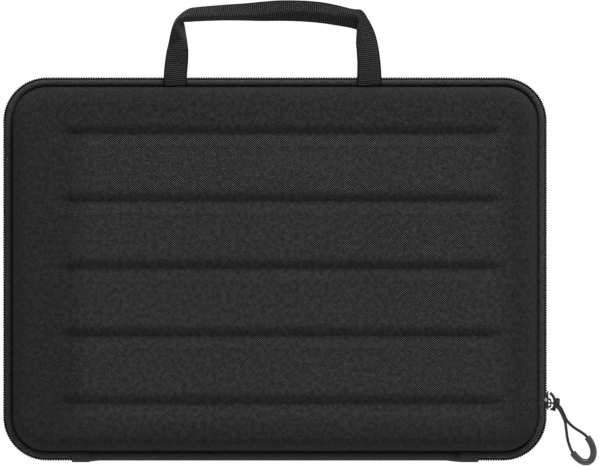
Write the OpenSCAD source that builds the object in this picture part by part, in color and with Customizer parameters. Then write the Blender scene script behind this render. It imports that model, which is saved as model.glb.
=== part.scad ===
// A zipped hard case for a laptop: two moulded half shells that fold on a fabric hinge strip.
// The case lies on its back. +X is to the right and +Y up, seen from its front, and +Z is its thickness.
// Heights inside one half are counted away from the plane where the two halves meet.

/* [Case] */
// Length over the zip teeth, left to right
case_len = 370; // [300:1:440]
// Width over the zip teeth, from the hinge edge to the handle edge
case_wid = 261; // [220:1:320]
// Thickness of each half
half_h = 20; // [18:0.5:32]
// Radius of the outline's corners
corner_r = 30; // [26:1:45]
// Gap between the two halves, on each side of the plane where they meet
part_gap = 0.3; // [0.2:0.05:0.5]

/* [Shell] */
// Thickness of the moulded foam wall
shell_wall = 4; // [3:0.25:5]
// Distance from the outline in to the foot of the shell's wall
foot_in = 6.8; // [6.6:0.1:8]
// Width of the rounded edge between the foot and the flat panel
edge_w = 11.5; // [9:0.5:16]
// Thickness of the rim flange
flange_t = 3.2; // [2:0.1:3.4]
// Distance from the outline in to the flange's edge
flange_in = 3.9; // [3.8:0.05:4.2]
// Thickness of the lining
lining_t = 0.8; // [0.5:0.1:1.2]
// Thickness of the inner binding tape
binding_t = 0.9; // [0.6:0.1:1.2]

/* [Channels] */
// Number of moulded channels across each panel
channel_count = 5; // [1:1:6]
// Distance from one channel to the next, as a share of the case's width
channel_share = 0.1751; // [0.14:0.0001:0.177]
// Height of the middle of the channels above the middle of the case
channel_up = 2.9; // [-4:0.1:5]
// Half of a channel's width
channel_half = 9.5; // [6:0.5:14]
// Depth of a channel
channel_deep = 2.6; // [1:0.1:3]
// Distance from the case's end to the left ends of the channels
channel_left = 35; // [32:1:60]
// Distance from the case's end to the right ends of the channels
channel_right = 28; // [28:1:60]

/* [Zip] */
// Distance from one tooth of a row to the next
tooth_pitch = 2; // [1.7:0.1:3]
// Width of a tooth at its root, along the row
tooth_w = 0.74; // [0.5:0.02:0.8]
// Distance from the outline in to the teeth's outer face
tooth_in = 0.3; // [0.2:0.05:0.5]
// Thickness of the teeth, across the tape
tooth_t = 1.6; // [1.4:0.1:1.8]
// How far each row's teeth reach past the plane where the halves meet
tooth_cross = 0.9; // [0.5:0.1:1.2]
// Height of the row's far edge
tooth_far = 2.8; // [2.4:0.1:3]
// Thickness of the zip tape
tape_t = 0.6; // [0.4:0.05:0.7]
// Height of the tape's free edge behind the teeth
tape_edge = 1.6; // [1.4:0.1:2]
// Radius of the fold of the tape over the rim
tape_fold_r = 1.7; // [1.6:0.05:1.8]
// Distance from each end of the case to the zip's end, along the hinge edge
zip_end_in = 53; // [50:1:85]

/* [Hinge strip] */
// Thickness of the fabric hinge strip
spine_t = 0.8; // [0.6:0.1:1]
// Radius of the fold of the hinge strip over the rim
spine_fold_r = 2.6; // [2.5:0.05:2.7]
// Length of each end tab along the hinge edge
tab_len = 12; // [8:1:16]
// Thickness of an end tab
tab_t = 0.9; // [0.6:0.1:1.1]

/* [Handle] */
// Width of the handle's webbing
webbing_w = 15; // [12:0.5:18]
// Thickness of the handle's webbing
webbing_t = 1.4; // [1:0.1:1.8]
// Width of each sewn-in tail
tail_w = 18; // [15:0.5:22]
// Thickness of each sewn-in tail
tail_t = 0.6; // [0.4:0.05:0.7]

/* [Slider] */
// Length of the slider along the zip
slider_len = 12.7; // [11:0.1:14]
// Width of the slider at its rear end
slider_w = 8.6; // [8.4:0.1:9.4]
// Width of the slider at its shoulders
shoulder_w = 9.8; // [9:0.1:10.6]
// Thickness of the slider's plates
plate_t = 0.9; // [0.7:0.05:0.95]
// Clearance between the slider and the teeth and tape it runs on
slider_gap = 0.25; // [0.2:0.05:0.3]
// Distance of the slider's middle above the corner's start, along the right side
slider_above = 11.2; // [10.5:0.1:40]
// Height of the opening under the slider's bridge
bridge_gap = 1.3; // [1.25:0.05:1.8]
// Thickness of the bridge's bar
bridge_t = 0.8; // [0.6:0.05:1.1]
// Width of the bridge, across the slider
bridge_w = 2; // [1.6:0.1:2.6]

/* [Pull] */
// Diameter of the loop through the bridge
loop_d = 1; // [0.8:0.05:1.1]
// Diameter of the pull's cord
cord_d = 2; // [1.8:0.1:2.2]
// Thickness of the moulded grip
grip_d = 4.5; // [4:0.1:5]
// Radius of the knot
knot_r = 2.6; // [2.4:0.1:2.8]

/* [Corner bands] */
// Width of each elastic corner band
band_w = 22; // [14:1:30]
// Thickness of each elastic corner band
band_t = 1.2; // [0.8:0.1:2]
// Distance of each band's middle from the corner of the interior, along the diagonal
band_out = 48; // [40:1:70]
// Height of the bands' upper face below the plane where the halves meet
band_low = 6; // [3:0.5:9]

/* [Hidden] */
fine = 96;
round_n = 32;
cx = case_len / 2 - corner_r;
cy = case_wid / 2 - corner_r;
zip_half = case_len / 2 - zip_end_in;
channel_pitch = case_wid * channel_share;
mid_z = half_h;
flange_low = part_gap + binding_t;
flange_top = flange_low + flange_t;
edge_steps = 9;
panel_in = foot_in + edge_w;
wall_in = foot_in + shell_wall;
inner_in = wall_in + lining_t;
binding_in = inner_in + 0.4;
cut = 1;

// The tape stands behind the teeth and folds over the rim
tape_face = tooth_in + tooth_t;
tape_mid = tape_face + tape_t / 2;
fold_low = 4.3;
tape_end = 10;
root_gap = 0.1;
finger_t = 0.95;

// The hinge strip and its end tabs fold over the rim in the same way
spine_mid = tooth_in + spine_t / 2;
spine_fold_low = 3.7;
spine_end = 22;
tab_end = 40;
tab_gap = 0.2;
tab_mid = tooth_in - tab_gap - tab_t / 2;
tab_fold_r = spine_fold_r + spine_mid - tab_mid;
tab_outer = zip_half + tab_len / 2;
spine_gap = 0.2;

// The slider straddles the rim: its outer plate is proud of the teeth, and its inner plate is behind the tape
plate_low = tooth_in - slider_gap;
plate_in = tape_face + tape_t + slider_gap;
lip_low = tape_face - slider_gap;
lip_at = tooth_far + 0.45;
slider_x = case_len / 2;
slider_y = -cy + slider_above;
post_y = -4;
post_r = 2;
post_shift = 0.95;
post_room = 0.5;
bridge_len = 6.6;
bridge_leg = 1;
pull_y = -1.8;
hang_x = slider_x - plate_low + plate_t + bridge_gap / 2;
hang_y = slider_y + pull_y;
loop_half = bridge_w / 2 + 0.3 + loop_d / 2;
loop_bend = 0.8;
loop_reach = 2.6;
knot_turn = 45;
knot_half = 2.7;
// The loop's legs stop where the inner side of each meets the knot's turns
knot_back = sqrt(pow(knot_r, 2) - pow(loop_half - loop_d / 2, 2)) / sin(knot_turn);
knot_x = hang_x + loop_reach + knot_back + 0.02;
knot_wraps = 3;
knot_end_x = knot_x + knot_half * cos(knot_turn);
knot_end_y = hang_y - knot_half * sin(knot_turn);
strand_rise = 1.1;

// Points of the pull's two strands, from the knot to the grip: x and y from the knot's end, and height
strand_left = [[0, 0, 21.1], [1.5, -1.5, 21], [3, -4, 20.4], [3.9, -7.5, 18.8], [4.3, -11, 16.3],
    [4.9, -15, 13], [5.6, -19, 9.6], [6.3, -23, 6.3], [7, -26.5, 3.9], [7.9, -29.4, 2.7], [9.1, -31.5, 2.5]];
strand_right = [[0, 0, 18.9], [1.5, -1.5, 18.6], [3.3, -3.8, 17.5], [5.6, -6.6, 15.6], [8, -9, 13],
    [10.6, -11.2, 10.2], [13.2, -13.2, 7.4], [15.6, -15.4, 4.9], [17.6, -17.7, 3.2], [19.2, -20.2, 2.5]];
grip_path = [[19.2, -20.2], [21, -23.4], [22.5, -27.2], [23.1, -31.2], [22.2, -34.8], [20, -37],
    [17.2, -37.3], [14.3, -36.2], [11.7, -34.2], [9.1, -31.5]];
grip_z = 2.5;

// The handle: x, y, height and tilt of the webbing at each station, from the left tail to the right one
hinge_y = case_wid / 2 - 5.6;
hinge_z = mid_z + flange_top + 2.9;
grip_rise = case_wid / 2;
handle_path = [[-67.5, -5.6, 27.3, 0], [-67.5, -2, 27.5, 0], [-67.4, 2, 27.3, -5], [-67, 9, 26.6, -14],
    [-66.3, 17, 25.8, -26], [-65.6, 25, 25, -44], [-65, 32, 24.4, -58], [-63.6, 38, 24, -66],
    [-60.6, 41.6, 24, -64], [-55, 43.4, 24, -55], [-45, 44, 24, -47], [-32, 44, 24, -45],
    [-16, 44.1, 24, -44], [0, 44.9, 24, -36], [14, 45.1, 24, -30], [28, 44, 24, -28], [40, 42, 24, -30],
    [50, 39.9, 24, -38], [55.6, 37.6, 24, -58], [58.4, 34.4, 24.2, -64], [60.2, 29, 24.6, -52],
    [61.6, 23, 25.2, -32], [62.8, 16, 25.9, -16], [63.6, 9, 26.6, -6], [64, 2, 27.3, 0],
    [64.1, -2, 27.5, 0], [64.1, -5.6, 27.3, 0]];
tail_x = [-67.5, 64.1];

// ---- shared shapes ----

// The front half stands on the plane where the halves meet, and the rear half hangs below it
module front_half() { translate([0, 0, mid_z]) children(); }
module rear_half() { translate([0, 0, mid_z]) mirror([0, 0, 1]) children(); }

// A section is drawn as [distance in from the outline, height]; the sweeps count from the corner's axis
function section(pts) = [for (p = pts) [corner_r - p[0], p[1]]];

// A strip of even thickness along a line of points
function unit(v) = v / norm(v);
function turn_left(v) = [-v[1], v[0]];
function side_at(p, i) =
    let (a = i == 0 ? p[1] - p[0] : p[i] - p[i - 1], b = i == len(p) - 1 ? a : p[i + 1] - p[i],
         na = turn_left(unit(a)), nb = turn_left(unit(b)), n = unit(na + nb))
    n / (n * na);
function strip(p, t) = concat(
    [for (i = [0 : len(p) - 1]) p[i] + side_at(p, i) * t / 2],
    [for (i = [len(p) - 1 : -1 : 0]) p[i] - side_at(p, i) * t / 2]);

// A line up the outside of the rim that folds over it in an arc
function fold_line(inset, low, fold_at, r, end) = concat([[inset, low]],
    [for (k = [0 : 10]) let (a = 180 - k * (180 - end) / 10)
        [inset + r + r * cos(a), fold_at + r * sin(a)]]);

// One quarter turn of a section round a corner of the outline
module corner(q, pts) {
    at = [[cx, cy], [-cx, cy], [-cx, -cy], [cx, -cy]][q];
    translate([at[0], at[1], 0]) rotate([0, 0, 90 * q])
        rotate_extrude(angle = 90, $fn = fine) polygon(pts);
}

// A straight run of a section along one side: 0 is right, 1 top, 2 left, 3 the hinge edge
module side(q, pts) {
    at = [[cx, cy], [-cx, cy], [-cx, -cy], [cx, -cy]][q];
    translate([at[0], at[1], 0]) rotate([90, 0, 90 * q])
        linear_extrude(q % 2 == 0 ? 2 * cy : 2 * cx) polygon(pts);
}

module all_round(pts) {
    for (q = [0 : 3]) {
        corner(q, pts);
        side(q, pts);
    }
}

// A stretch of a section along the hinge edge, from x1 up to x2
module hinge_run(x1, x2, pts) {
    translate([x2, -cy, 0]) rotate([90, 0, 270]) linear_extrude(x2 - x1) polygon(pts);
}

// Three sides and four corners, with a short stretch along the hinge edge at each end
module zip_round(pts) {
    for (q = [0 : 3]) corner(q, pts);
    for (q = [0 : 2]) side(q, pts);
    hinge_run(-cx, -zip_half, pts);
    hinge_run(zip_half, cx, pts);
}

module rounded_plate(inset, low, high) {
    r = corner_r - inset;
    translate([0, 0, low]) linear_extrude(high - low) {
        square([case_len - 2 * inset - 2 * r, case_wid - 2 * inset], center = true);
        square([case_len - 2 * inset, case_wid - 2 * inset - 2 * r], center = true);
        for (x = [-cx, cx], y = [-cy, cy]) translate([x, y]) circle(r, $fn = fine);
    }
}

// ---- moulded shell ----

// The rounded edge, as a quarter ellipse that ends at the panel
function edge_curve(inset, w, low, high) = [for (k = [0 : edge_steps]) let (a = k * 90 / edge_steps)
    [inset + w * (1 - cos(a)), low + (high - low) * sin(a)]];

function reversed(p) = [for (i = [len(p) - 1 : -1 : 0]) p[i]];

// Half of a channel's section: its shoulder rolls over and steepens towards the valley
function channel_side(half, deep, top) = [for (t = [0, 0.07, 0.16, 0.28, 0.42, 0.58, 0.76, 1])
    [half * t, top - deep * pow(1 - t, 1.4) * (t == 0 ? 0.96 : 1)]];

// The solid of one channel, with round ends, from its valley up to the given height
module channel(y, half, deep, top, cap) {
    x1 = -case_len / 2 + channel_left + channel_half;
    x2 = case_len / 2 - channel_right - channel_half;
    right = channel_side(half, deep, top);
    left = [for (p = reversed(right)) [-p[0], p[1]]];
    whole = concat([[-half, cap]], left, [for (i = [1 : len(right) - 1]) right[i]], [[half, cap]]);
    translate([x1, y, 0]) rotate([90, 0, 90]) linear_extrude(x2 - x1) polygon(whole);
    for (e = [[x1, 90], [x2, 270]]) translate([e[0], y, 0]) rotate([0, 0, e[1]])
        rotate_extrude(angle = 180, $fn = fine) polygon(concat([[0, cap]], right, [[half, cap]]));
}

module channels(grow, down, cap) {
    for (i = [0 : channel_count - 1])
        channel(channel_up + (i - (channel_count - 1) / 2) * channel_pitch,
            channel_half + grow, channel_deep, half_h - down, cap);
}

module shell() {
    outer = edge_curve(foot_in, edge_w, flange_top, half_h);
    inner = edge_curve(wall_in, edge_w - shell_wall, flange_top, half_h - shell_wall);
    difference() {
        union() {
            all_round(section(concat([[flange_in, flange_low], [flange_in, flange_top]], outer,
                [[panel_in, half_h - shell_wall]], reversed(inner), [[wall_in, flange_low]])));
            rounded_plate(panel_in, half_h - shell_wall, half_h);
            channels(shell_wall / 7, shell_wall, half_h - shell_wall + 0.5);
        }
        channels(0, 0, half_h + cut);
    }
}

module lining() {
    outer = edge_curve(wall_in, edge_w - shell_wall, flange_top, half_h - shell_wall);
    inner = edge_curve(inner_in, edge_w - shell_wall - lining_t, flange_top,
        half_h - shell_wall - lining_t);
    difference() {
        union() {
            all_round(section(concat([[wall_in, flange_low]], outer,
                [[panel_in, half_h - shell_wall - lining_t]], reversed(inner), [[inner_in, flange_low]])));
            rounded_plate(panel_in, half_h - shell_wall - lining_t, half_h - shell_wall);
            channels((shell_wall + lining_t) / 7, shell_wall + lining_t, half_h - shell_wall);
        }
        channels(shell_wall / 7, shell_wall, half_h - shell_wall + cut);
    }
}

module binding() {
    all_round(section([[flange_in, part_gap], [binding_in, part_gap], [binding_in, flange_low],
        [flange_in, flange_low]]));
}

// ---- zip ----

module zip_tape() {
    zip_round(section(strip(fold_line(tape_mid, tape_edge, fold_low, tape_fold_r, tape_end), tape_t)));
}

// The outline as one path: along the hinge edge, up the left, over the top, down the right and back
stub = cx - zip_half;
arc = corner_r * PI / 2;
legs = [stub, arc, 2 * cy, arc, 2 * cx, arc, 2 * cy, arc, stub];
function leg_start(i) = i == 0 ? 0 : leg_start(i - 1) + legs[i - 1];
zip_len = leg_start(9);
function leg_of(s) = len([for (i = [1 : 8]) if (s >= leg_start(i)) i]);
// The direction out of the outline, in degrees, and the axis that the stretch is measured from
function out_angle(s) = let (i = leg_of(s), f = (s - leg_start(i)) / legs[i])
    i % 2 == 0 ? 270 - 90 * (i / 2) : 270 - 90 * ((i - 1) / 2) - 90 * f;
function axis_of(s) = let (i = leg_of(s), d = s - leg_start(i))
    i == 0 ? [-zip_half - d, -cy] : i == 1 ? [-cx, -cy] : i == 2 ? [-cx, -cy + d] :
    i == 3 ? [-cx, cy] : i == 4 ? [-cx + d, cy] : i == 5 ? [cx, cy] :
    i == 6 ? [cx, cy - d] : i == 7 ? [cx, -cy] : [cx - d, -cy];
function rim_point(s, inset) = let (a = out_angle(s)) axis_of(s) + (corner_r - inset) * [cos(a), sin(a)];

// One row of teeth: a comb along the outline, cut away from the other row's root
module teeth_row(shift) {
    finger_in = tooth_in + finger_t;
    root_in = finger_in + root_gap;
    count = floor((zip_len - 2 * tooth_pitch) / tooth_pitch);
    starts = [for (k = [0 : count - 1]) (k + 0.75 + shift) * tooth_pitch];
    // the corner's inner side lies outside the tape's arc, and touches it between its points
    bow = (corner_r - tape_face) * (1 / cos(90 / 24) - 1);
    comb = concat([rim_point(0, root_in)],
        [for (s = starts, c = [[-0.5, 0], [-0.32, 1], [0.32, 1], [0.5, 0]])
            rim_point(s + c[0] * tooth_w, c[1] == 1 ? tooth_in : root_in)],
        [rim_point(zip_len - 0.01, root_in), rim_point(zip_len - 0.01, tape_face)],
        [for (i = [7 : -2 : 1], f = concat([0.9999], [for (k = [11 : -1 : 0]) (k + 0.5) / 12], [0]))
            rim_point(leg_start(i) + f * legs[i], tape_face - (f > 0 && f < 0.999 ? bow : 0))],
        [rim_point(0, tape_face)]);
    difference() {
        translate([0, 0, -tooth_cross]) linear_extrude(tooth_cross + tooth_far) polygon(comb);
        translate([0, 0, part_gap - cut - tooth_cross]) linear_extrude(cut + tooth_cross)
            rim_ring(finger_in, tape_face + cut);
        slider_room();
    }
}

// A flat band along the whole outline between two distances in from it
module rim_ring(outer_in, inner_in) {
    difference() {
        flat_outline(outer_in);
        flat_outline(inner_in);
    }
}

module flat_outline(inset) {
    r = corner_r - inset;
    square([2 * cx, 2 * (cy + r)], center = true);
    square([2 * (cx + r), 2 * cy], center = true);
    for (x = [-cx, cx], y = [-cy, cy]) translate([x, y]) circle(r, $fn = fine);
}

// The teeth part round the slider's post
module slider_room() {
    half_y = sqrt(post_r * post_r - post_shift * post_shift) + post_room;
    half_z = post_r - post_shift + post_room / 2;
    translate([slider_x - tape_face - cut, slider_y + post_y - half_y, -half_z])
        cube([tape_face + 2 * cut, 2 * half_y, 2 * half_z]);
}

// ---- hinge strip and end tabs ----

module spine() {
    hinge_run(-zip_half + spine_gap, zip_half - spine_gap,
        section(strip(fold_line(spine_mid, part_gap, spine_fold_low, spine_fold_r, spine_end), spine_t)));
}

module end_tab(x1) {
    hinge_run(x1, x1 + tab_len,
        section(strip(fold_line(tab_mid, part_gap, spine_fold_low, tab_fold_r, tab_end), tab_t)));
}

// ---- laptop corner bands ----

module corner_band(sx, sy) {
    far = [case_len / 2 - inner_in, case_wid / 2 - inner_in];
    reach = 60;
    room = 0.06;
    color("#202022") rear_half() intersection() {
        translate([sx * (far[0] - band_out / sqrt(2)), sy * (far[1] - band_out / sqrt(2)), band_low])
            rotate([0, 0, -45 * sx * sy]) translate([-reach, -band_w / 2, 0])
                cube([2 * reach, band_w, band_t]);
        rounded_plate(inner_in + bow_at(band_low + band_t) + room, 0, half_h);
    }
}

// How far the lining's rounded edge leans in at a height
function bow_at(h) = h <= flange_top ? 0 :
    (edge_w - shell_wall - lining_t)
        * (1 - sqrt(1 - pow((h - flange_top) / (half_h - shell_wall - lining_t - flange_top), 2)));

// ---- handle ----

module handle_tail(i) {
    color("#1c1c1e") front_half()
        translate([tail_x[i] - tail_w / 2, case_wid / 2 - foot_in + 0.05, flange_top])
            cube([tail_w, tail_t, hinge_z - mid_z - webbing_t / 2 - flange_top - 0.3]);
}

// A flat ribbon through stations of [x, y, height, tilt], the outer edge dropping as the tilt falls
function station(i) = let (p = handle_path[i]) [p[0], grip_rise + p[1], p[2]];
function along(i) = let (n = len(handle_path) - 1)
    unit(station(min(i + 1, n)) - station(max(i - 1, 0)));
function across(i) = let (t = along(i), a = handle_path[i][3], w0 = unit([-t[1], t[0], 0]))
    w0 * cos(a) + cross(t, w0) * sin(a);
function ribbon_ring(i) = let (c = station(i), w = across(i) * webbing_w / 2,
        n = unit(cross(along(i), across(i))) * webbing_t / 2)
    [c + w + n, c + w - n, c - w - n, c - w + n];

function ring_faces(n, rings) = concat(
    [[for (k = [0 : n - 1]) k]],
    [for (i = [0 : rings - 2], k = [0 : n - 1]) let (a = i * n + k, b = i * n + (k + 1) % n)
        each [[a, a + n, b], [b, a + n, b + n]]],
    [[for (k = [n - 1 : -1 : 0]) (rings - 1) * n + k]]);

module handle_strap() {
    rings = [for (i = [0 : len(handle_path) - 1]) each ribbon_ring(i)];
    color("#1c1c1e") polyhedron(rings, ring_faces(4, len(handle_path)), convexity = 6);
}

// ---- slider ----

// The slider's outline: straight behind, with wider shoulders in front
function slider_outline(grow) = let (h = slider_len / 2 + grow, w = slider_w / 2 + grow,
        s = shoulder_w / 2 + grow)
    [[h - 1.2, w - 0.6], [h - 0.4, w - 1.6], [h, w - 2.8], [h, -w + 2.8], [h - 0.4, -w + 1.6],
     [h - 1.2, -w + 0.6], [h - 2.4, -w], [0.5, -w], [-2.6, -s], [-4.6, -s], [-h + 0.7, -s + 0.8],
     [-h, -s + 2], [-h, -0.9], [-h + 0.9, 0], [-h, 0.9], [-h, s - 2], [-h + 0.7, s - 0.8], [-4.6, s],
     [-2.6, s], [0.5, w], [h - 2.4, w]];

// A plate in the slider's plane, from one distance in from the outline to another
module slider_plate(outer_in, inner_in) {
    translate([slider_x - inner_in, slider_y, mid_z]) rotate([90, 0, 90])
        linear_extrude(inner_in - outer_in) polygon(slider_outline(0));
}

module slider_body() {
    color("#3c3d40") {
        slider_plate(plate_low - plate_t, plate_low);
        slider_plate(plate_in, plate_in + plate_t);
        // the outer plate's lips, which close over the tape beside the teeth
        intersection() {
            slider_plate(plate_low - plate_t / 2, lip_low);
            for (s = [0, 1]) translate([slider_x - lip_low, slider_y, mid_z]) mirror([0, 0, s])
                translate([-cut, -slider_len, lip_at])
                    cube([lip_low + 2 * cut + plate_t, 2 * slider_len, shoulder_w]);
        }
        // the wedge-shaped post between the plates
        intersection_for(s = [-1, 1])
            translate([slider_x - plate_in - plate_t / 2, slider_y + post_y, mid_z + s * post_shift])
                rotate([0, 90, 0]) cylinder(r = post_r, h = plate_in - plate_low + plate_t, $fn = fine);
    }
}

module slider_bridge() {
    face_x = slider_x - plate_low + plate_t;
    top = bridge_gap + bridge_t;
    half = bridge_len / 2;
    slot = half - bridge_leg;
    color("#45464a") translate([face_x, hang_y, mid_z - bridge_w / 2]) linear_extrude(bridge_w)
        polygon([[0, -half], [top - 0.8, -half], [top - 0.2, -half + 0.5], [top, -half + 1.3],
            [top, half - 1.3], [top - 0.2, half - 0.5], [top - 0.8, half], [0, half], [0, slot],
            [bridge_gap - 0.3, slot], [bridge_gap, slot - 0.4], [bridge_gap, -slot + 0.4],
            [bridge_gap - 0.3, -slot], [0, -slot]]);
}

// ---- pull ----

// The loop through the bridge: a bar under it, two round bends and two legs out to the knot
module puller_loop() {
    color("#151516") translate([hang_x, hang_y, mid_z]) {
        translate([0, 0, -loop_half + loop_bend])
            cylinder(d = loop_d, h = 2 * (loop_half - loop_bend), $fn = round_n);
        for (s = [0, 1]) mirror([0, 0, s]) {
            translate([loop_bend, 0, loop_half - loop_bend]) rotate([90, 0, 0]) rotate([0, 0, 90])
                rotate_extrude(angle = 90, $fn = fine) translate([loop_bend, 0])
                    circle(d = loop_d, $fn = round_n);
            translate([loop_bend, 0, loop_half]) rotate([0, 90, 0])
                cylinder(d = loop_d, h = loop_reach - loop_bend, $fn = round_n);
        }
    }
}

// The knot: three turns of cord round the strands
module puller_knot() {
    turn = knot_half / knot_wraps;
    color("#151516") translate([knot_x, hang_y, mid_z]) rotate([0, 0, -knot_turn]) rotate([0, 90, 0])
        translate([0, 0, -knot_half]) {
            cylinder(r = knot_r - turn / 2, h = 2 * knot_half, $fn = fine);
            for (k = [0 : knot_wraps - 1]) translate([0, 0, (2 * k + 1) * turn])
                rotate_extrude($fn = fine) translate([knot_r - turn, 0]) circle(turn, $fn = round_n);
        }
}

// A smooth curve through chosen points
function curve_at(p, i, t) = let (n = len(p) - 1, a = p[max(i - 1, 0)], b = p[i], c = p[i + 1],
        d = p[min(i + 2, n)])
    0.5 * (2 * b + (c - a) * t + (2 * a - 5 * b + 4 * c - d) * t * t
        + (3 * b - a - 3 * c + d) * t * t * t);
function curve(p, steps) = concat(
    [for (i = [0 : len(p) - 2], k = [0 : steps - 1]) curve_at(p, i, k / steps)], [p[len(p) - 1]]);

// A round tube along points, its first and last faces square to the given directions
function tube_ring(p, i, r, sides, first, last) = let (n = len(p) - 1,
        t = i == 0 ? first : i == n ? last : unit(p[i + 1] - p[i - 1]),
        u = unit(cross(t, [0, 0, 1])), v = cross(u, t))
    [for (k = [0 : sides - 1]) p[i] + r * (u * cos(360 * k / sides) + v * sin(360 * k / sides))];

module tube(p, r, sides, first, last) {
    rings = [for (i = [0 : len(p) - 1]) each tube_ring(p, i, r, sides, first, last)];
    polyhedron(rings, ring_faces(sides, len(p)), convexity = 6);
}

function from_knot(p) = [for (q = p) [knot_end_x + q[0], knot_end_y + q[1], len(q) > 2 ? q[2] : grip_z]];
knot_dir = [cos(knot_turn), -sin(knot_turn), 0];
grip_points = curve(from_knot(grip_path), 3);
grip_first = unit(grip_points[1] - grip_points[0]);
grip_last = unit(grip_points[len(grip_points) - 1] - grip_points[len(grip_points) - 2]);

module puller_cord_left() {
    color("#151516") tube(curve(from_knot(strand_left), 2), cord_d / 2, 8, knot_dir, -grip_last);
}

module puller_cord_right() {
    color("#151516") tube(curve(from_knot(strand_right), 2), cord_d / 2, 8, knot_dir, grip_first);
}

module puller_grip() {
    color("#222224") tube(grip_points, grip_d / 2, 14, grip_first, grip_last);
}

// ---- the two halves' nodes ----

module base_shell() { color("#28282b") rear_half() shell(); }
module base_lining() { color("#3a3a3d") rear_half() lining(); }
module base_binding() { color("#1b1b1d") rear_half() binding(); }
module base_zip_tape() { color("#303033") rear_half() zip_tape(); }
module base_zip_teeth() { color("#101011") rear_half() teeth_row(0); }
module spine_base() { color("#28282b") rear_half() spine(); }
module end_tab_left_base() { color("#28282b") rear_half() end_tab(-tab_outer); }
module end_tab_right_base() { color("#28282b") rear_half() end_tab(tab_outer - tab_len); }
module lid_shell() { color("#28282b") front_half() shell(); }
module lid_lining() { color("#3a3a3d") front_half() lining(); }
module lid_binding() { color("#1b1b1d") front_half() binding(); }
module lid_zip_tape() { color("#303033") front_half() zip_tape(); }
module lid_zip_teeth() { color("#101011") front_half() teeth_row(0.5); }
module spine_lid() { color("#28282b") front_half() spine(); }
module end_tab_left_lid() { color("#28282b") front_half() end_tab(-tab_outer); }
module end_tab_right_lid() { color("#28282b") front_half() end_tab(tab_outer - tab_len); }

base_shell();
base_lining();
base_binding();
base_zip_tape();
base_zip_teeth();
spine_base();
end_tab_left_base();
end_tab_right_base();
corner_band(-1, -1);  // corner_band_1
corner_band(1, -1);  // corner_band_2
corner_band(1, 1);  // corner_band_3
corner_band(-1, 1);  // corner_band_4
lid_shell();
lid_lining();
lid_binding();
lid_zip_tape();
lid_zip_teeth();
spine_lid();
end_tab_left_lid();
end_tab_right_lid();
handle_tail(0);  // handle_tail_left
handle_tail(1);  // handle_tail_right
handle_strap();
slider_body();
slider_bridge();
puller_loop();
puller_knot();
puller_cord_left();
puller_cord_right();
puller_grip();
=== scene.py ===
"""Dress for the zipped laptop hard case: fabric skins, zip, webbing handle, slider and cord pull.

The frame is the part's own: the case lies on its back, +X right, +Y up, +Z towards the camera. Metres.
Meshes are worked out in millimetres and made in metres.
"""

import math

import bmesh
import bpy
import numpy as np
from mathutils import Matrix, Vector


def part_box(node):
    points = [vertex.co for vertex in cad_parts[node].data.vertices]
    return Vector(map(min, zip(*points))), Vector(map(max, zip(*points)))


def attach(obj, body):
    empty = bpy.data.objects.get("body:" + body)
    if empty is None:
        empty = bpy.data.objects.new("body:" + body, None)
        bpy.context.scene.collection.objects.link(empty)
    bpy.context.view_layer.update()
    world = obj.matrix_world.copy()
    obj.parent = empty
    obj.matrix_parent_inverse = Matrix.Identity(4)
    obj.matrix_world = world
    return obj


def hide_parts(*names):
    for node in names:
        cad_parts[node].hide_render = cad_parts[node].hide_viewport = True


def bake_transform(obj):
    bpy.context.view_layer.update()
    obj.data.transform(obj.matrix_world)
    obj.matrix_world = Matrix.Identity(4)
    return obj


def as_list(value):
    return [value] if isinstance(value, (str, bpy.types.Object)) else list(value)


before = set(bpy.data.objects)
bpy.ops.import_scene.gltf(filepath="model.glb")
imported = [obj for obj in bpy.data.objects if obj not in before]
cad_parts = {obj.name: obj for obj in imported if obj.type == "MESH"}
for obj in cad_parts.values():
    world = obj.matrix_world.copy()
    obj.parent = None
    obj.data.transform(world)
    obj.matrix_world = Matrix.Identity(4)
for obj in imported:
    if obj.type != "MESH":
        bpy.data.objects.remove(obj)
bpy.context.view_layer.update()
MM = 0.001
# points of a piece that lie closer together than this, in millimetres, are made one
MERGE = 0.002

# ---- sizes that the dress shares with the part, in millimetres ----
CASE_LEN, CASE_WID, HALF_H, CORNER_R = 370.0, 261.0, 20.0, 30.0
MID_Z = 20.0
CX, CY = CASE_LEN / 2 - CORNER_R, CASE_WID / 2 - CORNER_R
PART_GAP = 0.3
SHELL_WALL, FOOT_IN, EDGE_W = 4.0, 6.8, 11.5
FLANGE_LOW, FLANGE_TOP, FLANGE_IN = 1.2, 4.4, 3.9
LINING_T = 0.8
WALL_IN = FOOT_IN + SHELL_WALL
INNER_IN = WALL_IN + LINING_T
PANEL_IN = FOOT_IN + EDGE_W
CHANNELS, PITCH, CHANNEL_UP, CHANNEL_DEEP = 5, 45.7, 2.9, 4.1
VALLEY_LOW, WALL_RUN, RAMP_RUN, PAD_LEAN = 1.9, 10.0, 8.3, 0.7
CHANNEL_X = (-150.0, 157.0)
TOOTH_IN, TOOTH_T, TOOTH_PITCH = 0.3, 1.6, 1.7
ZIP_HALF = 132.0
TAPE_FACE, TAPE_T = 1.9, 0.6
TAB_LEN = 12.0
SLIDER_X, SLIDER_Y = 185.0, -89.3
HANG = (186.5, -91.1)
WEBBING_W, WEBBING_T, RIB_PITCH = 15.0, 1.4, 1.41
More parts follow.
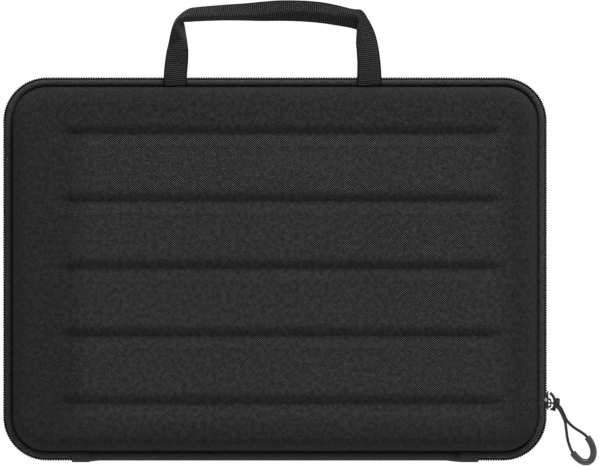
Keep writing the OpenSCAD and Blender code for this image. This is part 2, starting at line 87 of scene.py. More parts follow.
# stations of the handle's webbing: outer selvedge, ridge and inner selvedge, each as x, height above the
# case's handle edge, and z; then how far the ridge is from the webbing's middle, towards the outer selvedge
HANDLE = [
    (-75.1, -5.5, 27.3, -67.5, -5.5, 27.3, -59.9, -5.5, 27.3, 0),
    (-75.1, -3, 27.4, -67.5, -3, 27.4, -59.9, -3, 27.4, 0),
    (-75.2, 1.4, 27.0, -67.6, 1.4, 27.1, -60.0, 1.4, 27.1, 0),
    (-74.6, 8.9, 25.4, -66.9, 9.6, 26.0, -59.3, 10.3, 26.6, 0),
    (-73.3, 17.1, 22.6, -65.6, 17.7, 26.8, -59.2, 18.4, 26.9, -2),
    (-71.9, 23.2, 20.6, -62.8, 24.2, 27.8, -60.0, 23.9, 24.9, -4.5),
    (-70.7, 29.3, 22.9, -64.3, 29.8, 27.8, -61.0, 29.3, 20.2, -0.3),
    (-69.1, 34.7, 22.4, -66.8, 34.1, 28, -61.8, 34.4, 18.8, 1.8),
    (-67.1, 39.0, 21.6, -66.0, 37.7, 28, -62.2, 36.8, 18.8, 1.2),
    (-63.6, 42.7, 20.6, -63.4, 39.9, 28, -61.7, 37.8, 21.6, -0.5),
    (-58.2, 46.2, 20.5, -58.5, 41.1, 27.7, -57.9, 38.0, 22.4, -1.5),
    (-51.0, 47.3, 20.6, -51.0, 41.4, 27.5, -51.0, 38.4, 22.3, -1.5),
    (-34.7, 48.7, 21.1, -34.7, 41.7, 27.3, -34.7, 38.9, 22.3, -1.8),
    (-20.4, 49.7, 21.9, -20.4, 41.7, 27, -20.4, 38.8, 22.3, -2),
    (-8.8, 50.8, 22.9, -8.8, 42.5, 26.6, -8.8, 38.5, 22.5, -2),
    (3.4, 51.7, 24, 3.4, 43.9, 26.7, 3.4, 38.6, 21.2, -0.7),
    (17.0, 51.6, 24.1, 17.0, 44.7, 26.9, 17.0, 38.3, 20.2, 0.6),
    (30.6, 50.6, 24.6, 30.6, 43.4, 26.9, 30.6, 37.2, 20.2, 0.6),
    (41.5, 48.6, 23.8, 41.8, 41.8, 26.9, 42.2, 35.5, 20.2, 0.6),
    (49.0, 46.7, 23.2, 51.0, 42.6, 26.8, 51.0, 33.9, 20.8, 3),
    (54.1, 45.7, 24.6, 55.6, 42.0, 27.0, 55.5, 32.6, 21.0, 3.3),
    (59.1, 44.8, 24.8, 57.4, 38.3, 27.2, 56.0, 31.7, 22.2, 1),
    (63.4, 38.5, 23.4, 57.1, 33.7, 27.3, 56.0, 30.3, 24.8, -4),
    (66.4, 32.8, 22.4, 57.8, 29.6, 27.2, 55.6, 27.3, 26.2, -5),
    (68.7, 26.0, 22.8, 59.8, 24.5, 26.8, 55.3, 23.2, 26.9, -3.5),
    (70.4, 17.7, 24.6, 62.9, 17.4, 26.6, 55.8, 17.1, 26.8, 0),
    (71.5, 8.9, 26.3, 63.9, 8.9, 26.9, 56.2, 8.9, 27, 0),
    (72.0, 1.4, 27.1, 64.1, 1.4, 27.2, 56.1, 1.4, 27.2, 0),
    (72.1, -3, 27.4, 64.1, -3, 27.4, 56.1, -3, 27.4, 0),
    (72.1, -5.5, 27.3, 64.1, -5.5, 27.3, 56.1, -5.5, 27.3, 0),
]
CORD_D, GRIP_D = 2.0, 4.5
STRAND_LEFT = [
    (190.9, -92.8, 21.0), (192.4, -94.4, 20.9), (193.9, -96.3, 20.4), (195.9, -100.4, 18.4),
    (197.3, -103.7, 16.0), (197.9, -106.6, 13.6), (198.5, -110.8, 10.0), (199.4, -116.1, 6.0),
    (200.9, -121.0, 3.4), (202.8, -125.2, 2.5),
]
STRAND_RIGHT = [
    (191.9, -92.0, 19.0), (193.5, -93.6, 18.9), (194.9, -95.5, 18.4), (196.9, -99.6, 16.4),
    (198.5, -102.9, 14.0), (201.4, -106.1, 11.2), (204.5, -108.6, 8.2), (208.0, -110.8, 5.2),
    (210.6, -112.6, 3.4), (212.8, -114.6, 2.5),
]
GRIP_PATH = [
    (212.8, -114.6, 2.5), (214.8, -117.4, 2.5), (216.6, -121.4, 2.5), (217.2, -125.4, 2.5),
    (216.3, -129.2, 2.5), (214.1, -131.4, 2.5), (211.1, -131.7, 2.5), (208.1, -130.6, 2.5),
    (205.3, -128.2, 2.5), (202.8, -125.2, 2.5),
]


# ---- camera ----
def make_camera():
    """Looks straight down on the front panel; the photograph's scale holds at the plane of the zip."""
    wide, distance = 0.4073, 6.0
    data = bpy.data.cameras.new("camera")
    data.sensor_width = 36
    data.lens = 36 * distance / wide
    data.clip_start, data.clip_end = 0.05, 20
    camera = bpy.data.objects.new("camera", data)
    camera.location = (0.01666, 0.02448, MID_Z * MM + distance)
    bpy.context.scene.collection.objects.link(camera)
    bpy.context.scene.camera = camera
    bpy.context.scene.view_settings.view_transform = "Standard"


# ---- meshes ----
def smooth(a, b, x):
    t = np.clip((np.asarray(x, float) - a) / (b - a), 0, 1)
    return t * t * (3 - 2 * t)


def run_along(points):
    """The distance from the first point to each point of a line."""
    return np.concatenate([[0], np.cumsum(np.linalg.norm(np.diff(points, axis=0), axis=1))])


def cloth_grid(stops, section):
    """Cloth coordinates of a swept section: the distance along the sweep, and that round the section."""
    round_it = run_along(np.vstack([section, section[:1]]))[:-1]
    return np.stack(np.meshgrid(stops, round_it, indexing="ij"), 2).reshape(-1, 2)


def loft_faces(rows, around, closed=False, turned=False):
    """Quads from ring to ring, and a face over each end unless the last ring joins the first."""
    faces = []
    for i in range(rows if closed else rows - 1):
        a, b = i * around, (i + 1) % rows * around
        faces += [(a + k, a + (k + 1) % around, b + (k + 1) % around, b + k) for k in range(around)]
    if not closed:
        last = (rows - 1) * around
        ends = [tuple(range(around)), tuple(range(last + around - 1, last - 1, -1))]
        faces += [end[::-1] for end in ends] if turned else ends
    return faces


def piece(name, verts, faces, uv=None, sharp=35, body=None, stands_for=(), slot=None, material=None):
    """A shaded mesh object at the origin; verts and uv (one pair per point) are in millimetres."""
    mesh = bpy.data.meshes.new(name)
    mesh.from_pydata((np.asarray(verts, float) * MM).tolist(), [], [list(map(int, f)) for f in faces])
    mesh.validate()
    if uv is not None:
        layer = mesh.uv_layers.new(name="cloth")
        index = np.zeros(len(mesh.loops), np.int32)
        mesh.loops.foreach_get("vertex_index", index)
        layer.data.foreach_set("uv", np.asarray(uv, np.float32)[index].ravel())
    mesh.shade_smooth()
    if sharp:
        mesh.set_sharp_from_angle(angle=math.radians(sharp))
    made = bpy.data.objects.new(name, mesh)
    bpy.context.scene.collection.objects.link(made)
    if material:
        mesh.materials.append(material)
    finish_piece(made, body, stands_for, slot)
    return made


def finish_piece(made, body, stands_for, slot):
    """Parents a piece to the empty of the body it rides on and hides the nodes of the part that it stands for;
    slot is not used.
    """
    if body:
        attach(made, body)
    if stands_for:
        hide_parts(*stands_for)


def outwards(made, merge=0.0):
    """Turns all faces outwards, after points within merge millimetres of each other are joined."""
    bm = bmesh.new()
    bm.from_mesh(made.data)
    if merge:
        bmesh.ops.remove_doubles(bm, verts=bm.verts, dist=merge * MM)
        bmesh.ops.dissolve_degenerate(bm, dist=merge * MM * 0.5, edges=bm.edges)
    bmesh.ops.recalc_face_normals(bm, faces=bm.faces)
    bm.to_mesh(made.data)
    bm.free()
    made.data.update()
    return made


def joined(name, shapes, sharp=35, **more):
    """One piece from several closed shapes."""
    verts, faces = [], []
    for v, f in shapes:
        base = len(verts)
        verts += [tuple(x) for x in v]
        faces += [tuple(base + k for k in face) for face in f]
    return outwards(piece(name, verts, faces, None, sharp, **more))


def bevel(made, width, segments=2):
    modifier = made.modifiers.new("edge", "BEVEL")
    modifier.width = width * MM
    modifier.segments = segments
    modifier.limit_method = "ANGLE"
    modifier.angle_limit = math.radians(28)
    modifier.harden_normals = False
    return made


def spline(points, step):
    """Points spaced evenly along a Catmull-Rom curve; extra columns are carried along."""
    p = np.asarray(points, float)
    ends = np.vstack([2 * p[0] - p[1], p, 2 * p[-1] - p[-2]])
    fine = []
    for i in range(len(p) - 1):
        a, b, c, d = ends[i : i + 4]
        t = np.linspace(0, 1, 24, endpoint=False)[:, None]
        bend, twist = 2 * a - 5 * b + 4 * c - d, 3 * b - a - 3 * c + d
        fine.append((2 * b + (c - a) * t + bend * t**2 + twist * t**3) / 2)
    fine = np.vstack(fine + [p[-1:]])
    run = run_along(fine[:, :3])
    at = np.linspace(0, run[-1], max(2, int(round(run[-1] / step)) + 1))
    return np.column_stack([np.interp(at, run, fine[:, k]) for k in range(p.shape[1])]), at


def ring_mesh(points, radius, u, w, sides, round_it=1.0):
    """Points, faces and cloth coordinates of rings round points, in their directions u and w."""
    a = 2 * np.pi * np.arange(sides) / sides
    ring = np.cos(a)[None, :, None] * u[:, None] + np.sin(a)[None, :, None] * w[:, None]
    verts = (points[:, None] + np.broadcast_to(radius, len(points))[:, None, None] * ring).reshape(-1, 3)
    uv = np.stack(np.meshgrid(run_along(points), a / (2 * np.pi) * round_it, indexing="ij"), 2).reshape(-1, 2)
    return verts, loft_faces(len(points), sides, turned=True), uv


def tube(path, radius, sides):
    """Points, faces and (run, turn) coordinates of a tube along a path, without twist."""
    p = np.asarray(path, float)[:, :3]
    t = np.gradient(p, axis=0)
    t /= np.linalg.norm(t, axis=1)[:, None]
    u = np.zeros_like(p)
    seed = np.cross(t[0], (0, 0, 1))
    if np.linalg.norm(seed) < 1e-3:
        seed = np.cross(t[0], (1, 0, 0))
    u[0] = seed / np.linalg.norm(seed)
    for i in range(1, len(p)):
        v = u[i - 1] - t[i] * (u[i - 1] @ t[i])
        u[i] = v / np.linalg.norm(v)
    return ring_mesh(p, radius, u, np.cross(t, u), sides)


# ---- the rim, as a path: from the zip's left end round the left, top and right sides and back ----
ARC = CORNER_R * math.pi / 2
STUB = CX - ZIP_HALF
LEGS = [STUB, ARC, 2 * CY, ARC, 2 * CX, ARC, 2 * CY, ARC, STUB, 2 * ZIP_HALF]
LEG_START = np.concatenate([[0], np.cumsum(LEGS)])
ZIP_LEN, RIM_LEN = LEG_START[9], LEG_START[10]


def rim_at(s):
    """For distances along the rim: the axis that insets are measured from, and the direction outwards."""
    s = np.atleast_1d(np.asarray(s, float))
    leg = np.clip(np.searchsorted(LEG_START, s, side="right") - 1, 0, 9)
    d = s - LEG_START[leg]
    f = d / np.asarray(LEGS)[leg]
    starts = np.array([(-ZIP_HALF, -CY), (-CX, -CY), (-CX, -CY), (-CX, CY), (-CX, CY), (CX, CY), (CX, CY),
                       (CX, -CY), (CX, -CY), (ZIP_HALF, -CY)])
    moves = np.array([(-1, 0), (0, 0), (0, 1), (0, 0), (1, 0), (0, 0), (0, -1), (0, 0), (-1, 0), (-1, 0)])
    axis = starts[leg] + moves[leg] * d[:, None]
    quarter = np.minimum(leg // 2, 4)
    angle = np.where(leg == 9, -90.0, 270 - 90.0 * quarter - np.where(leg % 2 == 1, 90 * f, 0))
    return axis, np.column_stack([np.cos(np.radians(angle)), np.sin(np.radians(angle))])


def rim_stops(s0, s1, straight=4.0, corner_steps=30):
    """Stations from s0 to s1: close together round the corners, further apart along the sides."""
    stops = [s0]
    for i, length in enumerate(LEGS):
        a, b = LEG_START[i], LEG_START[i + 1]
        count = corner_steps if i in (1, 3, 5, 7) else max(1, math.ceil(length / straight))
        stops += [x for x in np.linspace(a, b, count + 1) if s0 < x < s1]
    return np.unique(np.round(np.array(stops + [s1]), 6))


def halves(side):
    """The sign that turns a height in one half into z: the lid stands up and the base hangs down."""
    return 1 if side == "lid" else -1


def rim_sweep(name, section, side, s0, s1, closed=False, **more):
    """Sweeps a closed section of (inset, height in the half) along the rim, with a cap at each open end."""
    sec = np.asarray(section, float)
    stops = rim_stops(s0, s1)
    if closed:
        stops = stops[:-1]
    axis, out = rim_at(stops)
    xy = axis[:, None] + (CORNER_R - sec[:, 0])[None, :, None] * out[:, None]
    z = np.broadcast_to(MID_Z + halves(side) * sec[:, 1], xy.shape[:2])
    verts = np.concatenate([xy, z[:, :, None]], 2).reshape(-1, 3)
    faces = loft_faces(len(stops), len(sec), closed)
    return outwards(piece(name, verts, faces, cloth_grid(stops, sec), body=side, **more), MERGE)


def strip(line, t):
    """A line of points made an even strip, with its two edges rounded."""
    p = np.asarray(line, float)
    d = np.gradient(p, axis=0)
    d /= np.linalg.norm(d, axis=1)[:, None]
    n = np.column_stack([-d[:, 1], d[:, 0]])
    turn = np.pi * np.arange(1, 4)[:, None] / 4
    end = p[-1] + t / 2 * (np.cos(turn) * n[-1] + np.sin(turn) * d[-1])
    start = p[0] - t / 2 * (np.cos(turn) * n[0] + np.sin(turn) * d[0])
    return np.vstack([p + n * t / 2, end, (p - n * t / 2)[::-1], start])


def fold_line(inset, low, fold_at, r, end, steps=14):
    """A line up the outside of the rim that folds over it."""
    a = np.radians(180 - np.arange(steps + 1) * (180 - end) / steps)
    arc = np.column_stack([inset + r + r * np.cos(a), fold_at + r * np.sin(a)])
    rise = np.column_stack([np.full(4, inset), np.linspace(low, fold_at, 4, endpoint=False)])
    return np.vstack([rise, arc])


# ---- moulded half shells ----
def edge_curve(inset, width, low, high, steps):
    a = np.radians(np.linspace(0, 90, steps + 1))
    return np.column_stack([inset + width * (1 - np.cos(a)), low + (high - low) * np.sin(a)])


def panel_relief(x, y):
    """How far the moulded panel lies below its highest plane: five channels, and pads that lean a little.

    Each channel has a short steep wall on its upper side, and below it a ramp that steepens to its shoulder.
    """
    relief, lean = np.zeros_like(x), np.zeros_like(x)
    left, right = CHANNEL_X
    ends = smooth(left, left + 11, x) * (1 - smooth(right - 11, right, x))
    inside = smooth(left - 4, left + 26, x) * (1 - smooth(right - 26, right + 4, x))
    first = CHANNEL_UP - (CHANNELS - 1) / 2 * PITCH - VALLEY_LOW
    for k in range(CHANNELS):
        t = y - (first + k * PITCH)
        wall = np.clip(1 - t / WALL_RUN, 0, 1) ** 2.6
        q = np.clip(-t / RAMP_RUN, 0, 1)
        valley = np.where(t > 0, wall, 1 - q**1.45)
        relief = np.maximum(relief, CHANNEL_DEEP * np.minimum(valley, 0.95 + 0.2 * (valley - 0.95)) * ends)
        if k < CHANNELS - 1:
            pad = (t - 4) / (PITCH - RAMP_RUN - 4)
            rise = PAD_LEAN * pad * smooth(0, 0.15, pad) * (1 - smooth(0.93, 1, pad))
            lean += np.where((pad > 0) & (pad < 1), rise, 0)
    return np.maximum(relief, lean * inside)


def dome_grid(side, profile, low_profile):
    """Points, faces and flat cloth coordinates of a moulded dome.

    profile is a line of (inset, height) from the rectangle that joins the corners' axes outwards; low_profile
    takes it on, back inwards below. A panel closes the dome at each end of the line.
    """
    nx, ny, corner_steps = 112, 176, 18
    xs, ys = np.linspace(-CX, CX, nx + 1), np.linspace(-CY, CY, ny + 1)
    sides = [[(x, CY) for x in xs[::-1][1:-1]], [(-CX, y) for y in ys[::-1][1:-1]],
             [(x, -CY) for x in xs[1:-1]], [(CX, y) for y in ys[1:-1]]]
    axis, angle = [], []
    for q, corner in enumerate([(CX, CY), (-CX, CY), (-CX, -CY), (CX, -CY)]):
        axis += [corner] * (corner_steps + 1) + sides[q]
        angle += [90 * q + 90 * k / corner_steps for k in range(corner_steps + 1)]
        angle += [90 * (q + 1)] * len(sides[q])
    axis = np.array(axis)
    out = np.array([(math.cos(math.radians(a)), math.sin(math.radians(a))) for a in angle])
    n = len(axis)
    verts, uv, faces = [], [], []
    gx, gy = np.meshgrid(xs, ys, indexing="ij")

    def panel(height):
        base = sum(len(v) for v in verts)
        verts.append(np.column_stack([gx.ravel(), gy.ravel(), (height - panel_relief(gx, gy)).ravel()]))
        uv.append(np.column_stack([gx.ravel(), gy.ravel()]))
        for a in range(base, base + nx * (ny + 1), ny + 1):
            faces.extend((a + j, a + j + 1, a + ny + 2 + j, a + ny + 1 + j) for j in range(ny))

    panel(profile[0][1])
    whole = np.vstack([profile, low_profile])
    drops = np.where(np.arange(len(whole)) < len(profile), smooth(PANEL_IN - 9, PANEL_IN, whole[:, 0]),
                     smooth(INNER_IN, PANEL_IN, whole[:, 0]))
    base = len(verts[0])
    for (inset, height), drop, far in zip(whole, drops, run_along(whole)):
        xy = axis + (CORNER_R - inset) * out
        verts.append(np.column_stack([xy, height - panel_relief(xy[:, 0], xy[:, 1]) * drop]))
        uv.append(axis + far * out)
    for a in range(base, base + (len(whole) - 1) * n, n):
        faces.extend((a + k, a + n + k, a + n + (k + 1) % n, a + (k + 1) % n) for k in range(n))
    panel(low_profile[-1][1])
    v = np.vstack(verts)
    v[:, 2] = MID_Z + halves(side) * v[:, 2]
    return v, faces, np.vstack(uv)


def make_shell(side, material):
    """The moulded foam half, laminated with ballistic cloth, and its flange."""
    ceiling = HALF_H - SHELL_WALL
    outer = edge_curve(FOOT_IN, EDGE_W, FLANGE_TOP, HALF_H, 18)[::-1]
    top = np.vstack([[[30, HALF_H], [26, HALF_H], [22, HALF_H]], outer,
                     [[FOOT_IN - 0.3, FLANGE_TOP], [FLANGE_IN, FLANGE_TOP]]])
    inner = edge_curve(WALL_IN, EDGE_W - SHELL_WALL, FLANGE_TOP, ceiling, 8)
    low = np.vstack([[[FLANGE_IN, FLANGE_LOW], [WALL_IN, FLANGE_LOW]], inner, [[24, ceiling], [30, ceiling]]])
    v, f, uv = dome_grid(side, top, low)
    made = piece(f"{side}_moulded_shell", v, f, uv, 45, side, [f"{side}_shell"], "shell_fabric", material)
    return outwards(made, MERGE)


def make_lining(side, material):
    """The knitted lining, just inside the shell and in its shape."""
    high, low = HALF_H - SHELL_WALL, HALF_H - SHELL_WALL - LINING_T
    behind = 0.02
    outer = edge_curve(WALL_IN + behind, EDGE_W - SHELL_WALL, FLANGE_TOP, high - behind, 8)[::-1]
    inner = edge_curve(INNER_IN, EDGE_W - SHELL_WALL - LINING_T, FLANGE_TOP, low, 10)
    top = np.vstack([[[30, high - behind], [24, high - behind]], outer, [[WALL_IN + behind, FLANGE_LOW]]])
    under = np.vstack([[[INNER_IN, FLANGE_LOW]], inner, [[24, low], [30, low]]])
    v, f, uv = dome_grid(side, top, under)
    made = piece(f"{side}_tricot_lining", v, f, uv, 50, side, [f"{side}_lining"], "lining_fabric", material)
    return outwards(made, MERGE)


def make_binding(side, material):
    """Woven tape round the raw edge of flange and lining, its two edges rolled over."""
    a, b = FLANGE_IN, INNER_IN + 0.4
    x = np.linspace(a + 0.5, b - 0.5, 12)
    crown = 0.12 * np.sin(np.pi * (x - a - 0.5) / (b - a - 1))
    low = np.column_stack([x, PART_GAP + 0.12 - crown])
    section = np.vstack([[[a, 0.75], [a + 0.12, 0.5]], low, [[b - 0.12, 0.5], [b, 0.75], [b - 0.08, 1.1]],
                         [[b - 0.5, FLANGE_LOW], [a + 0.3, FLANGE_LOW], [a, FLANGE_LOW - 0.1]]])
    return rim_sweep(f"{side}_edge_binding", section, side, 0, RIM_LEN, closed=True, sharp=50,
                     stands_for=[f"{side}_binding"], slot="binding_tape", material=material)


# ---- zip ----
def make_tape(side, material):
    """The zip's tape stands behind the teeth, folds over the rim and is sewn into the shell's foot."""
    line = fold_line(TAPE_FACE + TAPE_T / 2, 1.7, 4.25, 1.86, 4)
    tuck = np.array([[FOOT_IN - 0.72, 3.9]])
    section = strip(np.vstack([line, tuck]), TAPE_T)
    return rim_sweep(f"{side}_folded_zip_tape", section, side, 0, ZIP_LEN, sharp=50,
                     stands_for=[f"{side}_zip_tape"], slot="zip_tape", material=material)


def coil_loop(slant):
    """One turn of the nylon coil: up the front, over to its head, which leans along the zip, and back."""
    far, head, half = 2.45, -0.7, TOOTH_PITCH / 2
    centre = [
        (-half, 1.4, far + 0.1), (-half * 0.6, 1.15, far), (-0.15, 0.6, far - 0.4), (0, 0.5, 1.3),
        (slant * 0.3, 0.58, 0.6), (slant * 0.8, 0.95, -0.2), (slant, 1.15, head), (slant * 0.8, 1.42, -0.2),
        (slant * 0.3, 1.5, 0.6), (0.08, 1.5, 1.3), (0.15, 1.5, far - 0.4), (half * 0.6, 1.48, far),
        (half, 1.4, far + 0.1),
    ]
    return spline(centre, 0.6)[0]


# ---- Geometry Nodes ----
def tree_input(tree, name, kind, default):
    socket = tree.interface.new_socket(name=name, in_out="INPUT", socket_type=kind)
    if default is not None:
        socket.default_value = default
    return socket


def link(tree, *pairs):
    for a, b in pairs:
        tree.links.new(a, b)


def new_tree(name):
    tree = bpy.data.node_groups.new(name, "GeometryNodeTree")
    tree.interface.new_socket(name="Geometry", in_out="INPUT", socket_type="NodeSocketGeometry")
    tree.interface.new_socket(name="Geometry", in_out="OUTPUT", socket_type="NodeSocketGeometry")
    tree.is_modifier = True
    return tree, tree.nodes.new("NodeGroupInput"), tree.nodes.new("NodeGroupOutput")


def maths(tree, kind, *values, clamp=False):
    """The output of a maths node; each value is a number or a socket."""
    node = tree.nodes.new("ShaderNodeMath")
    node.operation = kind
    node.use_clamp = clamp
    for socket, value in zip(node.inputs, values):
        if isinstance(value, (int, float)):
            socket.default_value = value
        else:
            tree.links.new(value, socket)
    return node.outputs[0]


def row_tree(name):
    """Sets a shape out along the points of a path mesh, turned by the path's own direction attributes."""
    tree, start, end = new_tree(name)
    tree_input(tree, "Shape", "NodeSocketObject", None)
    tree_input(tree, "Unevenness", "NodeSocketFloat", 0.0)
    tree_input(tree, "Seed", "NodeSocketInt", 7)
    tree_input(tree, "Material", "NodeSocketMaterial", None)
    new, given = tree.nodes.new, start.outputs
    info, place, real, paint = (new(f"GeometryNode{k}") for k in
                                ("ObjectInfo", "InstanceOnPoints", "RealizeInstances", "SetMaterial"))
    turn, chance = new("GeometryNodeInputNamedAttribute"), new("FunctionNodeRandomValue")
    turn.data_type = "FLOAT_VECTOR"
    turn.inputs["Name"].default_value = "turn"
    chance.data_type = "FLOAT"
    size = [s for s in chance.outputs if s.type == "VALUE"][0]
    limits = [s for s in chance.inputs if s.type == "VALUE" and s.name in ("Min", "Max")]
    link(tree, (maths(tree, "SUBTRACT", 1.0, given["Unevenness"]), limits[0]),
         (maths(tree, "ADD", 1.0, given["Unevenness"]), limits[1]), (given["Seed"], chance.inputs["Seed"]),
         (given["Shape"], info.inputs["Object"]), (given["Geometry"], place.inputs["Points"]),
         (info.outputs["Geometry"], place.inputs["Instance"]),
         (turn.outputs["Attribute"], place.inputs["Rotation"]),
         (size, place.inputs["Scale"]), (place.outputs["Instances"], real.inputs["Geometry"]),
         (real.outputs["Geometry"], paint.inputs["Geometry"]), (given["Material"], paint.inputs["Material"]),
         (paint.outputs["Geometry"], end.inputs["Geometry"]))
    return tree


def run_tree(made, tree, values):
    """Runs a tree on an object and keeps the result as its plain mesh."""
    modifier = made.modifiers.new("rule", "NODES")
    modifier.node_group = tree
    for item in tree.interface.items_tree:
        if item.item_type == "SOCKET" and item.in_out == "INPUT" and item.name in values:
            modifier[item.identifier] = values[item.name]
    bpy.context.view_layer.update()
    result = bpy.data.meshes.new_from_object(made.evaluated_get(bpy.context.evaluated_depsgraph_get()))
    made.modifiers.remove(modifier)
    made.data = result
    result.name = made.name
    return made


def pattern_shape(name, verts, faces, uv=None):
    """A scratch object that a row repeats."""
    made = piece(name, verts, faces, uv, sharp=None)
    made.hide_render = True
    return made


def rim_row(name, side, shape, s, inset, height, tree, material, uneven=0.0, seed=7):
    """One shape repeated at distances s along the rim, its +Y outwards and its +X along the rim."""
    axis, out = rim_at(s)
    z = np.full(len(s), MID_Z + halves(side) * height)
    points = np.column_stack([axis + (CORNER_R - inset) * out, z])
    angle = np.arctan2(out[:, 1], out[:, 0]) - math.pi / 2
    turns = np.column_stack([np.zeros((len(s), 2)), angle])
    mesh = bpy.data.meshes.new(name)
    mesh.from_pydata((points * MM).tolist(), [], [])
    layer = mesh.attributes.new("turn", "FLOAT_VECTOR", "POINT")
    layer.data.foreach_set("vector", turns.astype(np.float32).ravel())
    made = bpy.data.objects.new(name, mesh)
    bpy.context.scene.collection.objects.link(made)
    run_tree(made, tree, {"Shape": shape, "Unevenness": uneven, "Seed": seed, "Material": material})
    made.data.shade_smooth()
    bpy.data.objects.remove(shape)
    return made


def make_teeth(side, tree, material):
    """The nylon coil of one half: turns of monofilament along the zip, set between the other half's turns."""
    v, f, uv = tube(coil_loop(TOOTH_PITCH / 4 * halves(side)), 0.44, 6)
    # a turn that is mirrored once, as the lid's is, has its faces turned over
    f = [face[::-1] for face in f] if side == "lid" else f
    loop = pattern_shape(f"{side}_coil_turn", v * [1, -1, halves(side)], f, uv)
    s = (np.arange(int((ZIP_LEN - 2 * TOOTH_PITCH) / TOOTH_PITCH)) + 1.0) * TOOTH_PITCH
    made = rim_row(f"{side}_coil_row", side, loop, s, 0, 0, tree, material)
    finish_piece(made, side, [f"{side}_zip_teeth"], "zip_teeth")
    return made


def make_core(side, material):
    """The filler cord that lies inside the coil and is sewn to the tape with it."""
    a = 2 * np.pi * np.arange(12) / 12
    section = np.column_stack([1.47 + 0.48 * np.cos(a), 1.35 + 0.5 * np.sin(a)])
    return rim_sweep(f"{side}_coil_core", section, side, TOOTH_PITCH, ZIP_LEN - TOOTH_PITCH, sharp=None,
                     slot="zip_tape", material=material)


# ---- hinge strip and end tabs ----
def rim_wrap(name, x1, x2, inset, t, fold_at, r, end, nodes, material, flare=None):
    """A fabric strip round the hinge edge, from one half over the parting plane to the other.

    flare, if given, tells for each x how far the strip bulges outwards.
    """
    line = fold_line(inset, 0.0, fold_at, r, end, 12)
    both = np.vstack([line[::-1] * [1, -1], line])
    both[np.abs(both[:, 1]) < 1e-6, 1] = 0
    sec = strip(both, t)
    xs = np.linspace(x1, x2, max(2, int(abs(x2 - x1) / 1.2) + 1))
    n, m = len(xs), len(sec)
    bulge = np.zeros(n) if flare is None else flare(xs)
    verts = np.stack([np.repeat(xs[:, None], m, 1), -CASE_WID / 2 + sec[None, :, 0] - bulge[:, None],
                      np.repeat(MID_Z + sec[None, :, 1], n, 0)], 2).reshape(-1, 3)
    cloth = cloth_grid(xs, sec)
    made = piece(name, verts, loft_faces(n, m), cloth, 50, None, nodes, "hinge_fabric", material)
    outwards(made, MERGE)
    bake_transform(made)
    return made


def towards_tabs(x):
    """The strip swells a little where it runs under each end tab."""
    swell = 0.95 * smooth(115, 125.4, x) + 0.55 * smooth(118, 125.4, -np.asarray(x))
    return swell * (1 - smooth(125.6, 127.2, np.abs(x)))


# ---- corner bands ----
def make_band(k, sx, sy, material):
    """A flat elastic across one corner of the tray, with rolled edges and a slight bow.

    It ends in the lining: along its run, each end is where the interior's outline is.
    """
    half_w, t, reach, steps = 11.0, 1.1, 47.2, 60
    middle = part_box(f"corner_band_{k}")[1][2] / MM - t / 2 - 0.05
    corner = np.array([CASE_LEN / 2 - INNER_IN, CASE_WID / 2 - INNER_IN])
    mid = np.array([sx, sy]) * (corner - 48 / math.sqrt(2))
    along, across = np.array([sx, -sy]) / math.sqrt(2), np.array([sx, sy]) / math.sqrt(2)
    turn = np.linspace(0, 2 * np.pi, 28, endpoint=False)
    section = np.column_stack([half_w * np.sign(np.cos(turn)) * np.abs(np.cos(turn)) ** 0.35,
                               t / 2 * np.sign(np.sin(turn)) * np.abs(np.sin(turn)) ** 0.7])
    verts, uv = [], []
    for i in range(steps + 1):
        r = -1 + 2 * i / steps
        bow = 0.105 * (1 - r * r)
        for a, z in section:
            p = mid + along * r * min(reach - 0.55 * a, reach - a + half_w) + across * a
            verts.append((p[0], p[1], middle + z - bow))
            uv.append((r * reach, a))
    made = piece(f"elastic_corner_{k}", verts, loft_faces(steps + 1, len(section)), uv, 50, "base",
                 [f"corner_band_{k}"], "elastic", material)
    return outwards(made, MERGE)


# ---- handle ----
def handle_surface(step, cols):
    """The webbing's middle surface, and its runs along and across: the webbing curls over along a ridge."""
    rows = np.array(HANDLE, float)
    rows[:, [1, 4, 7]] += CASE_WID / 2
    rows = np.column_stack([(rows[:, 0:3] + rows[:, 3:6] + rows[:, 6:9]) / 3, rows])
    p, run = spline(rows, step)
    outer, ridge, inner, at = p[:, 3:6], p[:, 6:9], p[:, 9:12], p[:, 12]
    half = WEBBING_W / 2
    u = np.linspace(-half, half, cols + 1)
    to_outer, to_inner = (outer - ridge) / (half - at)[:, None], (inner - ridge) / (half + at)[:, None]
    soft = np.minimum(1.1, 0.6 * (half - np.abs(at)))[:, None]
    d = u[None, :] - at[:, None]
    far = np.abs(d)
    # a parabola joins the two straight parts over the ridge
    reach = np.where(far < soft, (far + soft) ** 2 / (4 * soft), far)
    back = np.where(far < soft, (far - soft) ** 2 / (4 * soft), 0)
    up, down = np.where(d > 0, reach, back), np.where(d > 0, back, reach)
    mid = ridge[:, None] + up[:, :, None] * to_outer[:, None] + down[:, :, None] * to_inner[:, None]
    return mid, run, u


